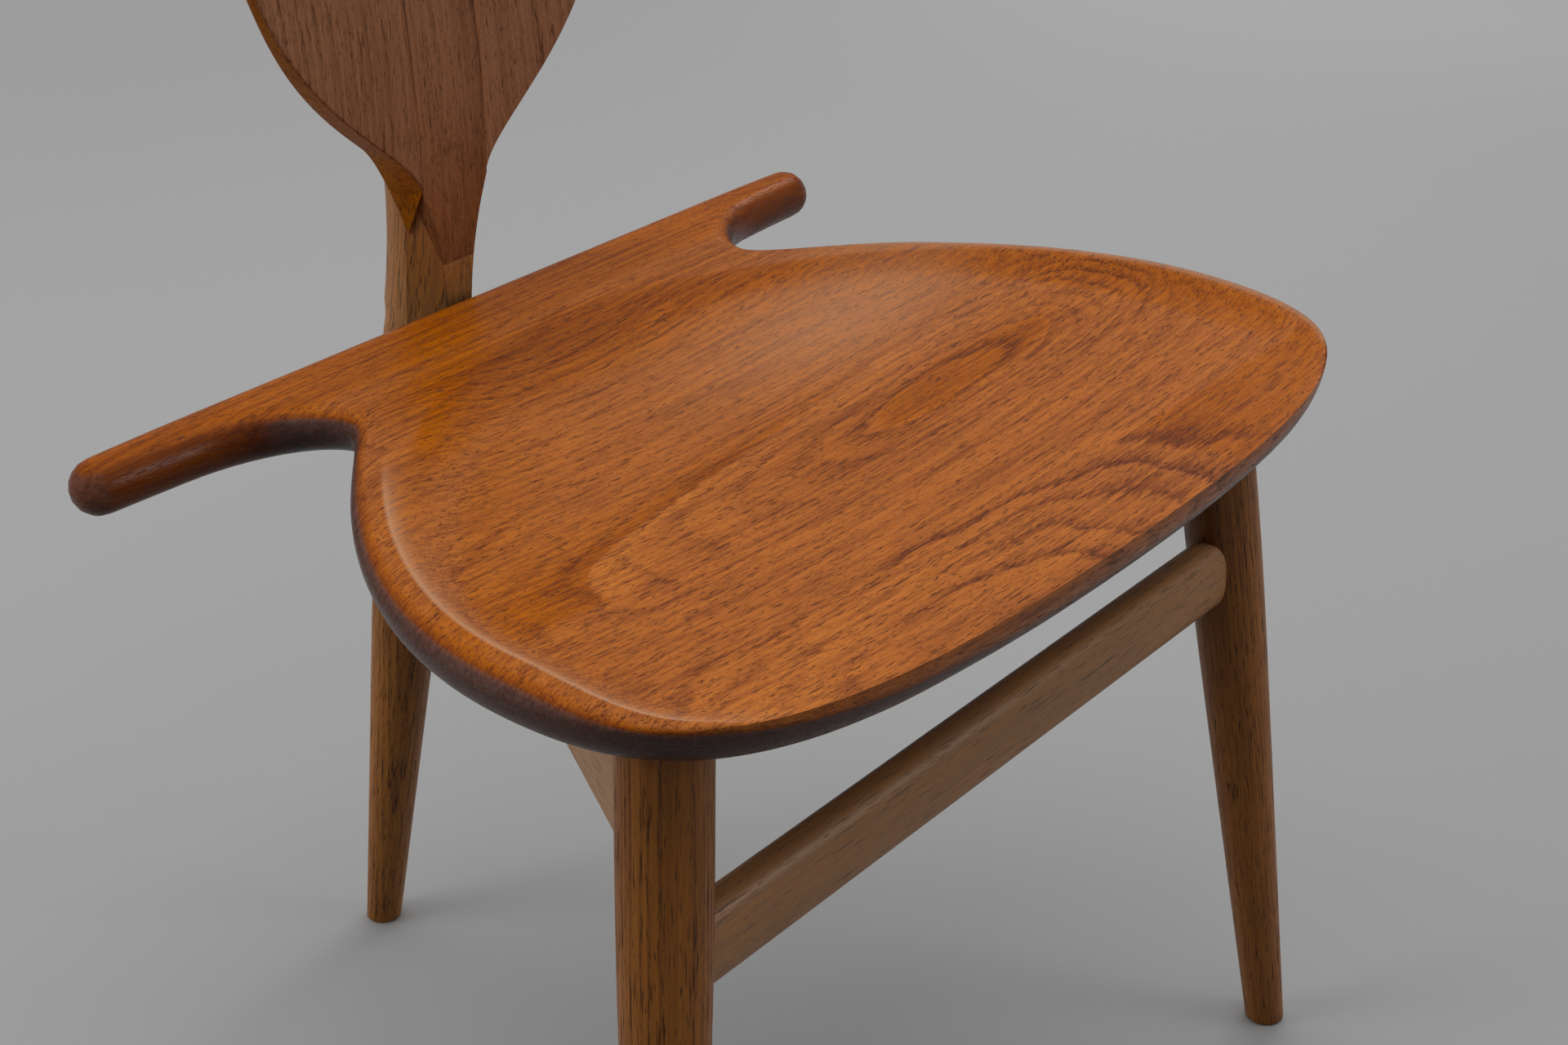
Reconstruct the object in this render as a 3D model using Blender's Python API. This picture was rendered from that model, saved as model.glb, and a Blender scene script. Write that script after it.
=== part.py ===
"""Valet chair: three oak legs, a horned teak seat that tips up on brass hinges, a coat-hanger back."""
import math

import bmesh
import bpy
import numpy as np
from mathutils import Vector
from mathutils.geometry import delaunay_2d_cdt

for old in list(bpy.data.objects):
    bpy.data.objects.remove(old, do_unlink=True)

# Clearances
FIT = 0.0003            # gap between two pieces that meet
PEG_FIT = 0.0002        # gap round a dowel, a pin or a screw

# Front legs: straight turned legs that splay outward and forward
LEG_TOP = 0.4265        # height of the front legs
FRONT_FOOT_X = 0.2656   # middle of the foot, from the middle of the chair
FRONT_FOOT_Y = -0.22375
FRONT_SPLAY_X = 0.141   # inward run of the leg for each metre up
FRONT_SPLAY_Y = 0.0998  # rearward run for each metre up
FRONT_FOOT_R = 0.0112
FRONT_LEG_R = 0.0203
FRONT_TAPER_Z = 0.315   # the taper ends here and the leg goes on straight
FOOT_EDGE = 0.0012      # chamfer round each foot

# Rear leg: round below, and a faceted post above the seat that bears the back
REAR_FOOT_Y = 0.25365
REAR_SPLAY = 0.19       # forward run of the leg for each metre up
REAR_FOOT_R = 0.0107
REAR_LEG_R = 0.022
REAR_TAPER_Z = 0.316

# Rails
FRONT_RAIL_Z = 0.3165
FRONT_RAIL_H = 0.0395
FRONT_RAIL_T = 0.021
RAIL_SQUARE = 0.72       # how square the front rail's section is: 1 is an ellipse, less is squarer
SIDE_RAIL_H = 0.071
SIDE_RAIL_T = 0.022
SIDE_RAIL_DROP = 0.0035  # from the front leg tops down to the top of the side rails
SIDE_RAIL_EDGE = 0.0025  # rounding of the rail's long edges

# Dowels in the rail ends and in the scarf
DOWEL_R = 0.0045
DOWEL_IN = 0.016         # depth in each piece
FRONT_DOWEL_PITCH = 0.022
SIDE_DOWEL_PITCH = 0.027
SIDE_DOWEL_STAGGER = 0.0055  # the left dowels sit this much lower and the right ones higher
SCARF_DOWEL_R = 0.004
SCARF_DOWEL_IN = 0.009
SCARF_DOWEL_X = 0.009
SCARF_DOWEL_Y = 0.014    # from the front of the post back to the dowels' middle

# Box under the seat
BOX_FRONT_Y = -0.139     # front face of the front wall
BOX_WALL_T = 0.012
BOX_FLOOR_T = 0.006
BOX_FLOOR_LIFT = 0.008   # from the bottom of the side rails up to the floor
BOX_HOUSING = 0.005      # how far the floor and the wall run into their grooves
BOX_REAR_GAP = 0.040     # from the rear leg's middle to the rear end of the floor

# Seat outline, as seen from above
SEAT_FRONT_Y = -0.26435
SEAT_WIDE_X = 0.2635     # half width at the widest place
SEAT_WIDE_Y = -0.14515
WAIST_X = 0.1425         # half width at the waist in front of the horns
WAIST_Y = 0.06985
SEAT_REAR_Y = 0.13935
HORN_R = 0.0134
HORN_REACH = 0.2545      # from the middle of the chair to the tip of a horn
HORN_ROOT_X = 0.198      # the horn's front edge is straight from here to the tip
HORN_DROP = 0.0010       # the tips hang by this much
HORN_DROP_RUN = 0.080
HORN_TURN = 0.87         # share of the round horn section that the edge rings cover
FRONT_FULL = 0.211       # handles that set how full the curves are
CORNER_FULL = 0.105
SIDE_FULL = 0.118
WAIST_FULL = 0.018
ROOT_FULL = 0.018
HORN_FULL = 0.026

# Seat heights, from the flat underside up
HINGE_SLIT = 0.0005      # slit between the leg tops and the seat
RIM_T = 0.0308           # height of the rim at the sides
FRONT_T = 0.0265         # height to which the rim plane falls at the front
RIM_SIDE_W = 0.010       # width of the rim at the sides
RIM_FRONT_W = 0.0015
RIM_REAR_W = 0.012
EDGE_FRONT = 0.0012      # from the top of the rim down to the widest line of the edge
EDGE_SIDE = 0.0067
UNDERCUT = 0.0255        # run of the edge back under the seat
WALL_DEPTH = 0.0055      # short steep wall just inside the rim
WALL_RUN = 0.010
BOWL_DEPTH = 0.009
DISH_REAR_Y = 0.059      # the dish starts here
DISH_REAR_RUN = 0.085
RISE_REAR_Y = 0.072      # the rim rises from the rear bar over this run
RISE_RUN = 0.080
FALL_Y = -0.143          # the rim falls to the front from here

# Neck and back
NECK_W = 0.022           # half width of the post and of the centre board
NECK_FLARE = 2.4         # power by which the front facet widens upward
NECK_FACE_W = 0.009      # half width of the post's front facet at the seat
NECK_DEPTH = 0.0445
NECK_SHOULDER = 0.016    # depth of the side facets and of the wings at their root
NECK_FRONT_GAP = 0.0028  # from the seat's rear edge to the front of the post
NECK_CURVE = 0.8         # how strongly the post's front runs back toward its foot
NECK_REAR_CURVE = 1.75   # the same for its rear
FACET_RISE = 0.0130      # from the seat underside to the foot of the post's facets
APEX_RISE = 0.0840       # from the seat underside to the place where the facets end
SCARF_RISE = 0.0420      # from the seat underside to the scarf's foot on the front facet
SCARF_SLOPE = 5.0        # the scarf rises steeply behind the front facet
BACK_T = 0.024           # thickness of the centre board above the neck
NECK_THIN_RUN = 0.125    # height over which the neck thins to the board
BACK_UPRIGHT = 0.024     # the back stands upright for this much above the facets
BACK_BEND_RUN = 0.125
BACK_LEAN = 0.19         # rearward run for each metre up, above the bend
BACK_HOLLOW = 0.45       # how strongly the back curves forward to its sides
FLARE_START = (0.053, 0.175)  # handles of the outline, as shares of the runs that they lie in
FLARE_END = 0.61
ARM_START = 0.73
ARM_END = 0.656
TOP_START = (0.30, 0.18)
TOP_END = 0.352
WING_THIN = (0.22, 0.55)  # start and run of the wings' thinning, as shares of the flank's rise
WING_FALL = 1.6          # how steeply the wings' lower ends fall to the rear
WING_FALL_RUN = 0.030    # height over which that fall fades out
WING_GROW = (0.757, 0.197)  # start and run of their thickening to the shoulders, of the tips' rise
FLANK_X = 0.117          # half width of the back's body
FLANK_RISE = 0.154       # from the end of the facets to the full body width
TIP_X = 0.213            # middle of the rounded tip of a shoulder
TIP_RISE = 0.3555
TIP_R = 0.016
BACK_RISE = 0.439        # from the end of the facets to the top of the back
EDGE_T = 0.008           # thickness of the body's thin edge
EDGE_ROUND = 0.0016      # rounding of the back's edges
SHOULDER_EDGE_T = 0.012  # thickness of the edge out on the shoulders

# Brass hinges
KNUCKLE_R = 0.0032
PIN_R = 0.0015
LEAF_W = 0.026
LEAF_T = 0.002
LEAF_REACH = 0.0355      # from the hinge axis to the rear edge of a leaf
KNUCKLE_GAP = 0.0003
MIDDLE_KNUCKLE = 0.009
AXIS_AHEAD = 0.0043      # the hinge axis lies this far in front of the legs
SCREW_HEAD_R = 0.0029
SCREW_R = 0.0014
SCREW_HEAD_H = 0.0016
SCREW_L = 0.012
SCREW_SIDE_X = 0.0085    # two screws to the sides and one further back
SCREW_NEAR = 0.017
SCREW_FAR = 0.029

# Leather buffers on the side rails
BUFFER_R = 0.008
BUFFER_Y = 0.087

# Values that follow from the ones above
SEAT_UNDER = LEG_TOP + HINGE_SLIT
BAR_T = 2 * HORN_R       # the flat rear bar is as thick as the horns
SIDE_RAIL_TOP = LEG_TOP - SIDE_RAIL_DROP
SIDE_RAIL_Z = SIDE_RAIL_TOP - SIDE_RAIL_H / 2
APEX_Z = SEAT_UNDER + APEX_RISE
FACET_Z = SEAT_UNDER + FACET_RISE
SCARF_Z = SEAT_UNDER + SCARF_RISE
NECK_Y = SEAT_REAR_Y + NECK_FRONT_GAP
AXIS_Z = LEG_TOP + HINGE_SLIT / 2


def front_leg_at(z):
    """Middle of the right front leg at height z."""
    return FRONT_FOOT_X - FRONT_SPLAY_X * z, FRONT_FOOT_Y + FRONT_SPLAY_Y * z


def rear_leg_at(z):
    """Middle of the rear leg at height z."""
    return 0.0, REAR_FOOT_Y - REAR_SPLAY * z


HINGE_X, LEG_TOP_Y = front_leg_at(LEG_TOP)
AXIS_Y = LEG_TOP_Y - FRONT_LEG_R - AXIS_AHEAD


def make_material(name, colour, roughness, metallic=0.0):
    """Principled material with one colour."""
    material = bpy.data.materials.new(name)
    material.use_nodes = True
    shader = material.node_tree.nodes["Principled BSDF"]
    shader.inputs["Base Color"].default_value = (*colour, 1.0)
    shader.inputs["Roughness"].default_value = roughness
    shader.inputs["Metallic"].default_value = metallic
    return material


OAK = ("oak", (0.20, 0.115, 0.055), 0.55, 0.0)
TEAK = ("teak", (0.33, 0.115, 0.028), 0.45, 0.0)
BEECH = ("beech", (0.52, 0.36, 0.20), 0.6, 0.0)
BRASS = ("brass", (0.62, 0.44, 0.16), 0.35, 1.0)
LEATHER = ("leather", (0.10, 0.055, 0.03), 0.7, 0.0)


def solid(name, points, faces, finish, sharp=35.0):
    """Named object from points and faces, faces turned outward, shaded smooth up to the sharp angle."""
    mesh = bpy.data.meshes.new(name)
    mesh.from_pydata([tuple(map(float, p)) for p in points], [], faces)
    work = bmesh.new()
    work.from_mesh(mesh)
    bmesh.ops.recalc_face_normals(work, faces=work.faces)
    work.to_mesh(mesh)
    work.free()
    obj = bpy.data.objects.new(name, mesh)
    bpy.context.scene.collection.objects.link(obj)
    mesh.materials.append(make_material(name + "_" + finish[0], *finish[1:]))
    mesh.shade_smooth()
    mesh.set_sharp_from_angle(angle=math.radians(sharp))
    return obj


def loft(name, rings, finish, sharp=35.0):
    """Closed solid through rings with the same number of points, capped at both ends."""
    rings = np.asarray(rings)
    count, sides = rings.shape[:2]
    faces = []
    for k in range(count - 1):
        for i in range(sides):
            j = (i + 1) % sides
            faces.append((k * sides + i, k * sides + j, (k + 1) * sides + j, (k + 1) * sides + i))
    faces.append(tuple(range(sides - 1, -1, -1)))
    faces.append(tuple((count - 1) * sides + i for i in range(sides)))
    return solid(name, rings.reshape(-1, 3), faces, finish, sharp)


def prism(name, plan, low, high, finish):
    """Upright prism over a plan outline of (x, y) points."""
    rings = [[(x, y, z) for x, y in plan] for z in (low, high)]
    return loft(name, rings, finish)


def box(name, low, high, finish):
    """Box between two corners."""
    plan = [(low[0], low[1]), (high[0], low[1]), (high[0], high[1]), (low[0], high[1])]
    return prism(name, plan, low[2], high[2], finish)


def turned(name, start, end, stations, finish, sides=16):
    """Turned solid along a line: stations are (distance from the start, radius)."""
    start = Vector(start)
    along = (Vector(end) - start).normalized()
    across = along.orthogonal().normalized()
    other = along.cross(across)
    rings = []
    for distance, radius in stations:
        ring = []
        for i in range(sides):
            turn = 2 * math.pi * i / sides
            ring.append(start + along * distance + (across * math.cos(turn) + other * math.sin(turn)) * radius)
        rings.append(ring)
    return loft(name, rings, finish)


def rod(name, start, end, radius, finish, sides=16):
    """Plain round rod between two points."""
    length = (Vector(end) - Vector(start)).length
    return turned(name, start, end, [(0.0, radius), (length, radius)], finish, sides)


def combine(target, others, operation):
    """Cut the others out of the target, or join them to it, and remove them."""
    for other in others:
        step = target.modifiers.new("step", "BOOLEAN")
        step.operation = operation
        step.solver = "EXACT"
        step.object = other
    view = bpy.context.evaluated_depsgraph_get()
    mesh = bpy.data.meshes.new_from_object(target.evaluated_get(view))
    target.modifiers.clear()
    target.data = mesh
    mesh.shade_smooth()
    mesh.set_sharp_from_angle(angle=math.radians(35.0))
    while len(mesh.materials) > 1:
        mesh.materials.pop()
    for other in others:
        bpy.data.objects.remove(other, do_unlink=True)


def cut(target, *others):
    """Cut the other solids out of the target."""
    combine(target, others, "DIFFERENCE")


def join(target, *others):
    """Join the other solids to the target."""
    combine(target, others, "UNION")


def blend(t):
    """Smooth step from 0 to 1."""
    t = np.clip(t, 0.0, 1.0)
    return t * t * (3.0 - 2.0 * t)


def bezier(start, first, second, end, steps):
    """Points of a cubic curve, without its last point."""
    t = (np.arange(steps) / steps)[:, None]
    start, first, second, end = (np.array(p) for p in (start, first, second, end))
    return ((1 - t) ** 3 * start + 3 * t * (1 - t) ** 2 * first
            + 3 * t ** 2 * (1 - t) * second + t ** 3 * end)


def leg_radius(z, foot, full, taper):
    """Radius that grows straight from the foot and eases into the full radius at the taper's end."""
    growing = foot + (full - foot) * z / taper
    ease = 0.0012
    return 0.5 * (growing + full - math.sqrt((growing - full) ** 2 + ease ** 2))


def leg_heights(top):
    """Heights of the rings of a leg: the foot's chamfer, then even steps."""
    return [0.0, FOOT_EDGE] + [top * k / 8 for k in range(1, 9)]


def front_leg(name, side, grow=0.0):
    """One front leg. With grow it is the room that the leg takes up."""
    rings = []
    for z in leg_heights(LEG_TOP):
        radius = leg_radius(z, FRONT_FOOT_R, FRONT_LEG_R, FRONT_TAPER_Z) + grow
        if z == 0.0:
            radius -= FOOT_EDGE
        x, y = front_leg_at(z)
        turns = [2 * math.pi * i / 24 for i in range(24)]
        rings.append([(side * x + radius * math.cos(a), y + radius * math.sin(a), z) for a in turns])
    return loft(name, rings, OAK)


def neck_front(z):
    """Front of the neck and of the back's middle line at height z."""
    above = z - APEX_Z - BACK_UPRIGHT
    bent = np.clip(above, 0.0, BACK_BEND_RUN)
    straight = np.maximum(above - BACK_BEND_RUN, 0.0)
    below = np.maximum(APEX_Z - z, 0.0)
    return NECK_Y + BACK_LEAN * (bent ** 2 / (2 * BACK_BEND_RUN) + straight) + NECK_CURVE * below ** 2


def neck_rear(z):
    """Rear of the neck, which thins to the centre board above the facets."""
    thin = blend((z - APEX_Z) / NECK_THIN_RUN)
    below = np.maximum(APEX_Z - z, 0.0)
    run_back = (NECK_REAR_CURVE - NECK_CURVE) * below ** 2
    return neck_front(z) + NECK_DEPTH + (BACK_T - NECK_DEPTH) * thin + run_back


def neck_face(z):
    """Half width of the front facet, which widens upward until the side facets end."""
    up = np.clip((z - FACET_Z) / (APEX_Z - FACET_Z), 0.0, 1.0)
    return NECK_FACE_W + (NECK_W - NECK_FACE_W) * up ** NECK_FLARE


def neck_ring(z, trim=0.0):
    """Section of the neck: a front facet, two side facets and a round rear."""
    front = float(neck_front(z))
    rear = float(neck_rear(z))
    half = NECK_W - trim
    face = min(float(neck_face(z)), half)
    shoulder = front + NECK_SHOULDER
    right = [(face * k / 2, front) for k in range(3)]
    right += [(face + (half - face) * k / 3, front + NECK_SHOULDER * k / 3) for k in range(1, 3)]
    for k in range(9):
        turn = math.pi / 2 * k / 8
        right.append((half * math.cos(turn), shoulder + (rear - shoulder) * math.sin(turn)))
    left = [(-x, y) for x, y in right[-2:0:-1]]
    return [(x, y, z) for x, y in right + left]


def rear_ring(z, grow=0.0):
    """Section of the rear leg under the facets: round up to the side rails' top, then turning into the post."""
    start = SIDE_RAIL_TOP + FIT
    section = np.array(neck_ring(FACET_Z))[:, :2]
    middle = np.array([0.0, neck_front(FACET_Z) + NECK_W])
    turns = np.arctan2(section[:, 1] - middle[1], section[:, 0] - middle[0])
    radius = leg_radius(z, REAR_FOOT_R, REAR_LEG_R, REAR_TAPER_Z) + grow
    if z == 0.0:
        radius -= FOOT_EDGE
    ring = np.array(rear_leg_at(z)) + radius * np.stack([np.cos(turns), np.sin(turns)], axis=1)
    ring += (section - ring) * blend((z - start) / (FACET_Z - start))
    return np.column_stack([ring, np.full(len(ring), z)])


def rear_leg(name):
    """Rear leg: round up to the seat, then turning into the faceted post, cut off by the scarf."""
    start = SIDE_RAIL_TOP + FIT
    morph = FACET_Z - start
    rings = [rear_ring(z) for z in leg_heights(start) + [start + morph * k / 4 for k in range(1, 5)]]
    top = SCARF_Z + SCARF_SLOPE * NECK_DEPTH
    for k in range(1, 15):
        rings.append(neck_ring(FACET_Z + (top - FACET_Z + 0.01) * k / 14))
    leg = loft(name, rings, OAK)
    cut(leg, scarf_block(name + "_above", -FIT / 2, 0.3))
    return leg


def scarf_block(name, low, high):
    """Slab parallel to the scarf plane, between two heights over it."""
    front = float(neck_front(SCARF_Z))
    near = front - 0.10
    far = front + 0.15
    slant = [(y, SCARF_Z + SCARF_SLOPE * (y - front)) for y in (near, far)]
    lean = math.sqrt(1 + SCARF_SLOPE ** 2)
    corners = [(slant[0][0], slant[0][1] + low * lean), (slant[1][0], slant[1][1] + low * lean),
               (slant[1][0], slant[1][1] + high * lean), (slant[0][0], slant[0][1] + high * lean)]
    rings = [[(x, y, z) for y, z in corners] for x in (-0.5, 0.5)]
    return loft(name, rings, OAK)


TOP_STEPS = 10           # points along the top of a wing


def back_outline():
    """Right half of the hanger's outline from the end of the facets up to the top, as (x, z) points."""
    flank_z = APEX_Z + FLANK_RISE
    tip_z = APEX_Z + TIP_RISE
    top_z = APEX_Z + BACK_RISE
    under_z = tip_z - TIP_R
    over_z = tip_z + TIP_R
    wide = FLANK_X - NECK_W
    flare = bezier((NECK_W, APEX_Z), (NECK_W + FLARE_START[0] * wide, APEX_Z + FLARE_START[1] * FLANK_RISE),
                   (FLANK_X, flank_z - FLARE_END * FLANK_RISE), (FLANK_X, flank_z), 10)
    arm = bezier((FLANK_X, flank_z), (FLANK_X, flank_z + ARM_START * (under_z - flank_z)),
                 (TIP_X - ARM_END * (TIP_X - FLANK_X), under_z), (TIP_X, under_z), 10)
    turns = [math.radians(-90 + 180 * k / 7) for k in range(7)]
    tip = [(TIP_X + TIP_R * math.cos(a), tip_z + TIP_R * math.sin(a)) for a in turns]
    top = bezier((TIP_X, over_z), (TIP_X * (1 - TOP_START[0]), over_z + TOP_START[1] * (top_z - over_z)),
                 (TIP_X * TOP_END, top_z), (0.0, top_z), TOP_STEPS)
    return np.vstack([flare, arm, tip, top])


def back_centre(name):
    """Centre board of the back, from the scarf to the top."""
    outline = back_outline()
    over = outline[-TOP_STEPS:]
    top = float(np.interp(-NECK_W, -over[:, 0], over[:, 1]))
    rows = np.concatenate([np.linspace(SCARF_Z - 10 * FIT, APEX_Z, 6), np.linspace(APEX_Z, top, 13)[1:]])
    board = loft(name, [neck_ring(z, FIT / 2) for z in rows], TEAK)
    cut(board, scarf_block(name + "_below", -0.3, FIT / 2))
    return board


def back_wing(name, side):
    """One wing of the back: flat-faced in front, thinning behind to its edge."""
    inner = NECK_W + FIT / 2
    rings = []
    for edge_x, z in back_outline():
        if edge_x < inner + EDGE_ROUND:
            continue
        front_mid = float(neck_front(z))
        thin = float(blend(((z - APEX_Z) / FLANK_RISE - WING_THIN[0]) / WING_THIN[1]))
        out = float(blend(((z - APEX_Z) / TIP_RISE - WING_GROW[0]) / WING_GROW[1]))
        edge_t = NECK_SHOULDER + (EDGE_T - NECK_SHOULDER) * thin + (SHOULDER_EDGE_T - EDGE_T) * out
        across = inner + (edge_x - inner) * np.array([0.0, 0.3, 0.6, 0.85, 0.96, 1.0])
        front = front_mid - BACK_HOLLOW * (across ** 2 - NECK_W ** 2)
        share = ((across - inner) / (edge_x - inner)) ** 2
        rear = front + NECK_SHOULDER + (edge_t - NECK_SHOULDER) * share
        front[-1] += EDGE_ROUND
        rear[-1] -= EDGE_ROUND
        fall = WING_FALL * (1.0 - float(blend((z - APEX_Z) / WING_FALL_RUN)))
        ring = [(x, y, 0.0) for x, y in zip(across, front)]
        ring += [(x, y, fall * (y - f)) for x, y, f in zip(across[::-1], rear[::-1], front[::-1])]
        rings.append([(side * x, y, z - drop) for x, y, drop in ring])
    return loft(name, rings, TEAK)


def front_rail(name):
    """Rail of rounded section between the front legs."""
    x, y = front_leg_at(FRONT_RAIL_Z)
    section = []
    for i in range(24):
        turn = 2 * math.pi * i / 24
        c, s = math.cos(turn), math.sin(turn)
        section.append((math.copysign(abs(c) ** RAIL_SQUARE, c) * FRONT_RAIL_T / 2,
                        math.copysign(abs(s) ** RAIL_SQUARE, s) * FRONT_RAIL_H / 2))
    rings = [[(end, y + a, FRONT_RAIL_Z + b) for a, b in section] for end in (-x, x)]
    rail = loft(name, rings, OAK)
    cut(rail, *[front_leg(name + "_room", side, FIT) for side in (-1, 1)])
    return rail


def side_line(side):
    """Middle line of a side rail, from the front leg to the rear leg, with its unit directions."""
    x, y = front_leg_at(SIDE_RAIL_Z)
    start = Vector((side * x, y, SIDE_RAIL_Z))
    end = Vector((*rear_leg_at(SIDE_RAIL_Z), SIDE_RAIL_Z))
    along = (end - start).normalized()
    outward = Vector((side * along.y, -side * along.x, 0.0))
    return start, end, along, outward


def side_rail(name, side):
    """Side rail: an upright board with rounded long edges, fitted round both legs."""
    start, end, along, outward = side_line(side)
    half_t, half_h, edge = SIDE_RAIL_T / 2, SIDE_RAIL_H / 2, SIDE_RAIL_EDGE
    section = []
    for a, b, quarter in ((1, 1, 0), (-1, 1, 1), (-1, -1, 2), (1, -1, 3)):
        for k in range(4):
            turn = math.pi / 2 * (quarter + k / 3)
            section.append((a * (half_t - edge) + edge * math.cos(turn),
                            b * (half_h - edge) + edge * math.sin(turn)))
    rings = [[place + outward * a + Vector((0, 0, b)) for a, b in section] for place in (start, end)]
    rail = loft(name, rings, OAK)
    cut(rail, front_leg(name + "_front", side, FIT), rear_leg_room(name + "_rear"),
        box(name + "_other", (-side * 0.2 - 0.2 + side * FIT / 2, -0.5, 0.0),
            (-side * 0.2 + 0.2 + side * FIT / 2, 0.5, 1.0), OAK))
    return rail


def rear_leg_room(name):
    """Room that the round part of the rear leg takes up."""
    return loft(name, [rear_ring(z, FIT) for z in leg_heights(SIDE_RAIL_TOP + FIT)], OAK)


def rail_inside(y):
    """Half width between the inner faces of the side rails at y."""
    start, end, along, outward = side_line(1)
    point = start - outward * (SIDE_RAIL_T / 2)
    return point.x + along.x / along.y * (y - point.y)


def box_front(name, grow=0.0):
    """Front wall of the box, housed in both side rails."""
    near, far = BOX_FRONT_Y - grow, BOX_FRONT_Y + BOX_WALL_T + grow
    reach = BOX_HOUSING + grow
    plan = [(-rail_inside(near) - reach, near), (rail_inside(near) + reach, near),
            (rail_inside(far) + reach, far), (-rail_inside(far) - reach, far)]
    low = SIDE_RAIL_TOP - SIDE_RAIL_H + BOX_FLOOR_LIFT / 2 - grow
    return prism(name, plan, low, SIDE_RAIL_TOP + grow * 4, OAK)


def box_floor(name, grow=0.0):
    """Three-cornered floor of the box, in grooves in the front wall and the side rails."""
    near = BOX_FRONT_Y + BOX_WALL_T - BOX_HOUSING - grow
    far = rear_leg_at(SIDE_RAIL_Z)[1] - BOX_REAR_GAP + grow
    reach = BOX_HOUSING + grow
    plan = [(-rail_inside(near) - reach, near), (rail_inside(near) + reach, near),
            (rail_inside(far) + reach, far), (-rail_inside(far) - reach, far)]
    low = SIDE_RAIL_TOP - SIDE_RAIL_H + BOX_FLOOR_LIFT
    return prism(name, plan, low - grow, low + BOX_FLOOR_T + grow, TEAK)


FRONT_STEPS = 14         # points along the parts of the seat's outline
SIDE_STEPS = 12
ROOT_STEPS = 7
SEAT_GRID = 0.0175       # spacing of the points on the seat's top


def seat_outline():
    """Right half of the seat's outline, front middle to rear middle, with rim width and horn share.

    Rows are x, y, width of the rim, share of the round horn section."""
    horn_y = SEAT_REAR_Y - 2 * HORN_R
    tip_x = HORN_REACH - HORN_R
    front = bezier((0, SEAT_FRONT_Y), (FRONT_FULL, SEAT_FRONT_Y),
                   (SEAT_WIDE_X, SEAT_WIDE_Y - CORNER_FULL), (SEAT_WIDE_X, SEAT_WIDE_Y), FRONT_STEPS)
    side = bezier((SEAT_WIDE_X, SEAT_WIDE_Y), (SEAT_WIDE_X, SEAT_WIDE_Y + SIDE_FULL),
                  (WAIST_X, WAIST_Y - WAIST_FULL), (WAIST_X, WAIST_Y), SIDE_STEPS)
    root = bezier((WAIST_X, WAIST_Y), (WAIST_X, WAIST_Y + ROOT_FULL),
                  (HORN_ROOT_X - HORN_FULL, horn_y), (HORN_ROOT_X, horn_y), ROOT_STEPS)
    horn = np.column_stack([np.linspace(HORN_ROOT_X, tip_x, 3)[:2], np.full(2, horn_y)])
    turns = np.radians(np.linspace(-90, 90, 9))
    tip = np.column_stack([tip_x + HORN_R * np.cos(turns), SEAT_REAR_Y - HORN_R + HORN_R * np.sin(turns)])
    rear = np.column_stack([np.linspace(tip_x, 0.0, 7)[1:], np.full(6, SEAT_REAR_Y)])
    horn_w = HORN_R * (1 - math.cos(math.pi / 2 * HORN_TURN))
    t_front = np.arange(FRONT_STEPS) / FRONT_STEPS
    t_side = np.arange(SIDE_STEPS) / SIDE_STEPS
    t_root = np.arange(ROOT_STEPS) / ROOT_STEPS
    rest = len(horn) + len(tip) + len(rear)
    rim = np.concatenate([RIM_FRONT_W + (RIM_SIDE_W - RIM_FRONT_W) * blend(2 * t_front - 0.84),
                          RIM_SIDE_W + (RIM_REAR_W - RIM_SIDE_W) * t_side,
                          RIM_REAR_W + (horn_w - RIM_REAR_W) * t_root,
                          np.full(rest, horn_w)])
    share = np.concatenate([np.zeros(FRONT_STEPS), 0.2 * blend(4 * t_side - 3),
                            0.2 + 0.8 * blend(t_root), np.ones(rest)])
    return np.column_stack([np.vstack([front, side, root, horn, tip, rear]), rim, share])


def whole_ring(half):
    """Closed ring from the right half: the left half is its mirror image."""
    mirrored = half[1:-1][::-1].copy()
    mirrored[:, 0] *= -1
    return np.vstack([half, mirrored])


def seat_top(x, y, rim_x, rim_y):
    """Height of the seat's top: a rim plane that rises and falls, less the dish."""
    rise = blend((RISE_REAR_Y - y) / RISE_RUN)
    fall = blend((FALL_Y - y) / (FALL_Y - SEAT_FRONT_Y))
    plane = SEAT_UNDER + BAR_T + (RIM_T - BAR_T) * rise + (FRONT_T - RIM_T) * fall
    half = np.interp(y, rim_y, rim_x)
    inside = np.maximum(half - np.abs(x), 0.0)
    wall = WALL_DEPTH * blend(inside / WALL_RUN) * (1.0 - fall)
    bowl = BOWL_DEPTH * np.maximum(1.0 - (x / half) ** 2, 0.0)
    return plane - blend((DISH_REAR_Y - y) / DISH_REAR_RUN) * (wall + bowl)


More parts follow.
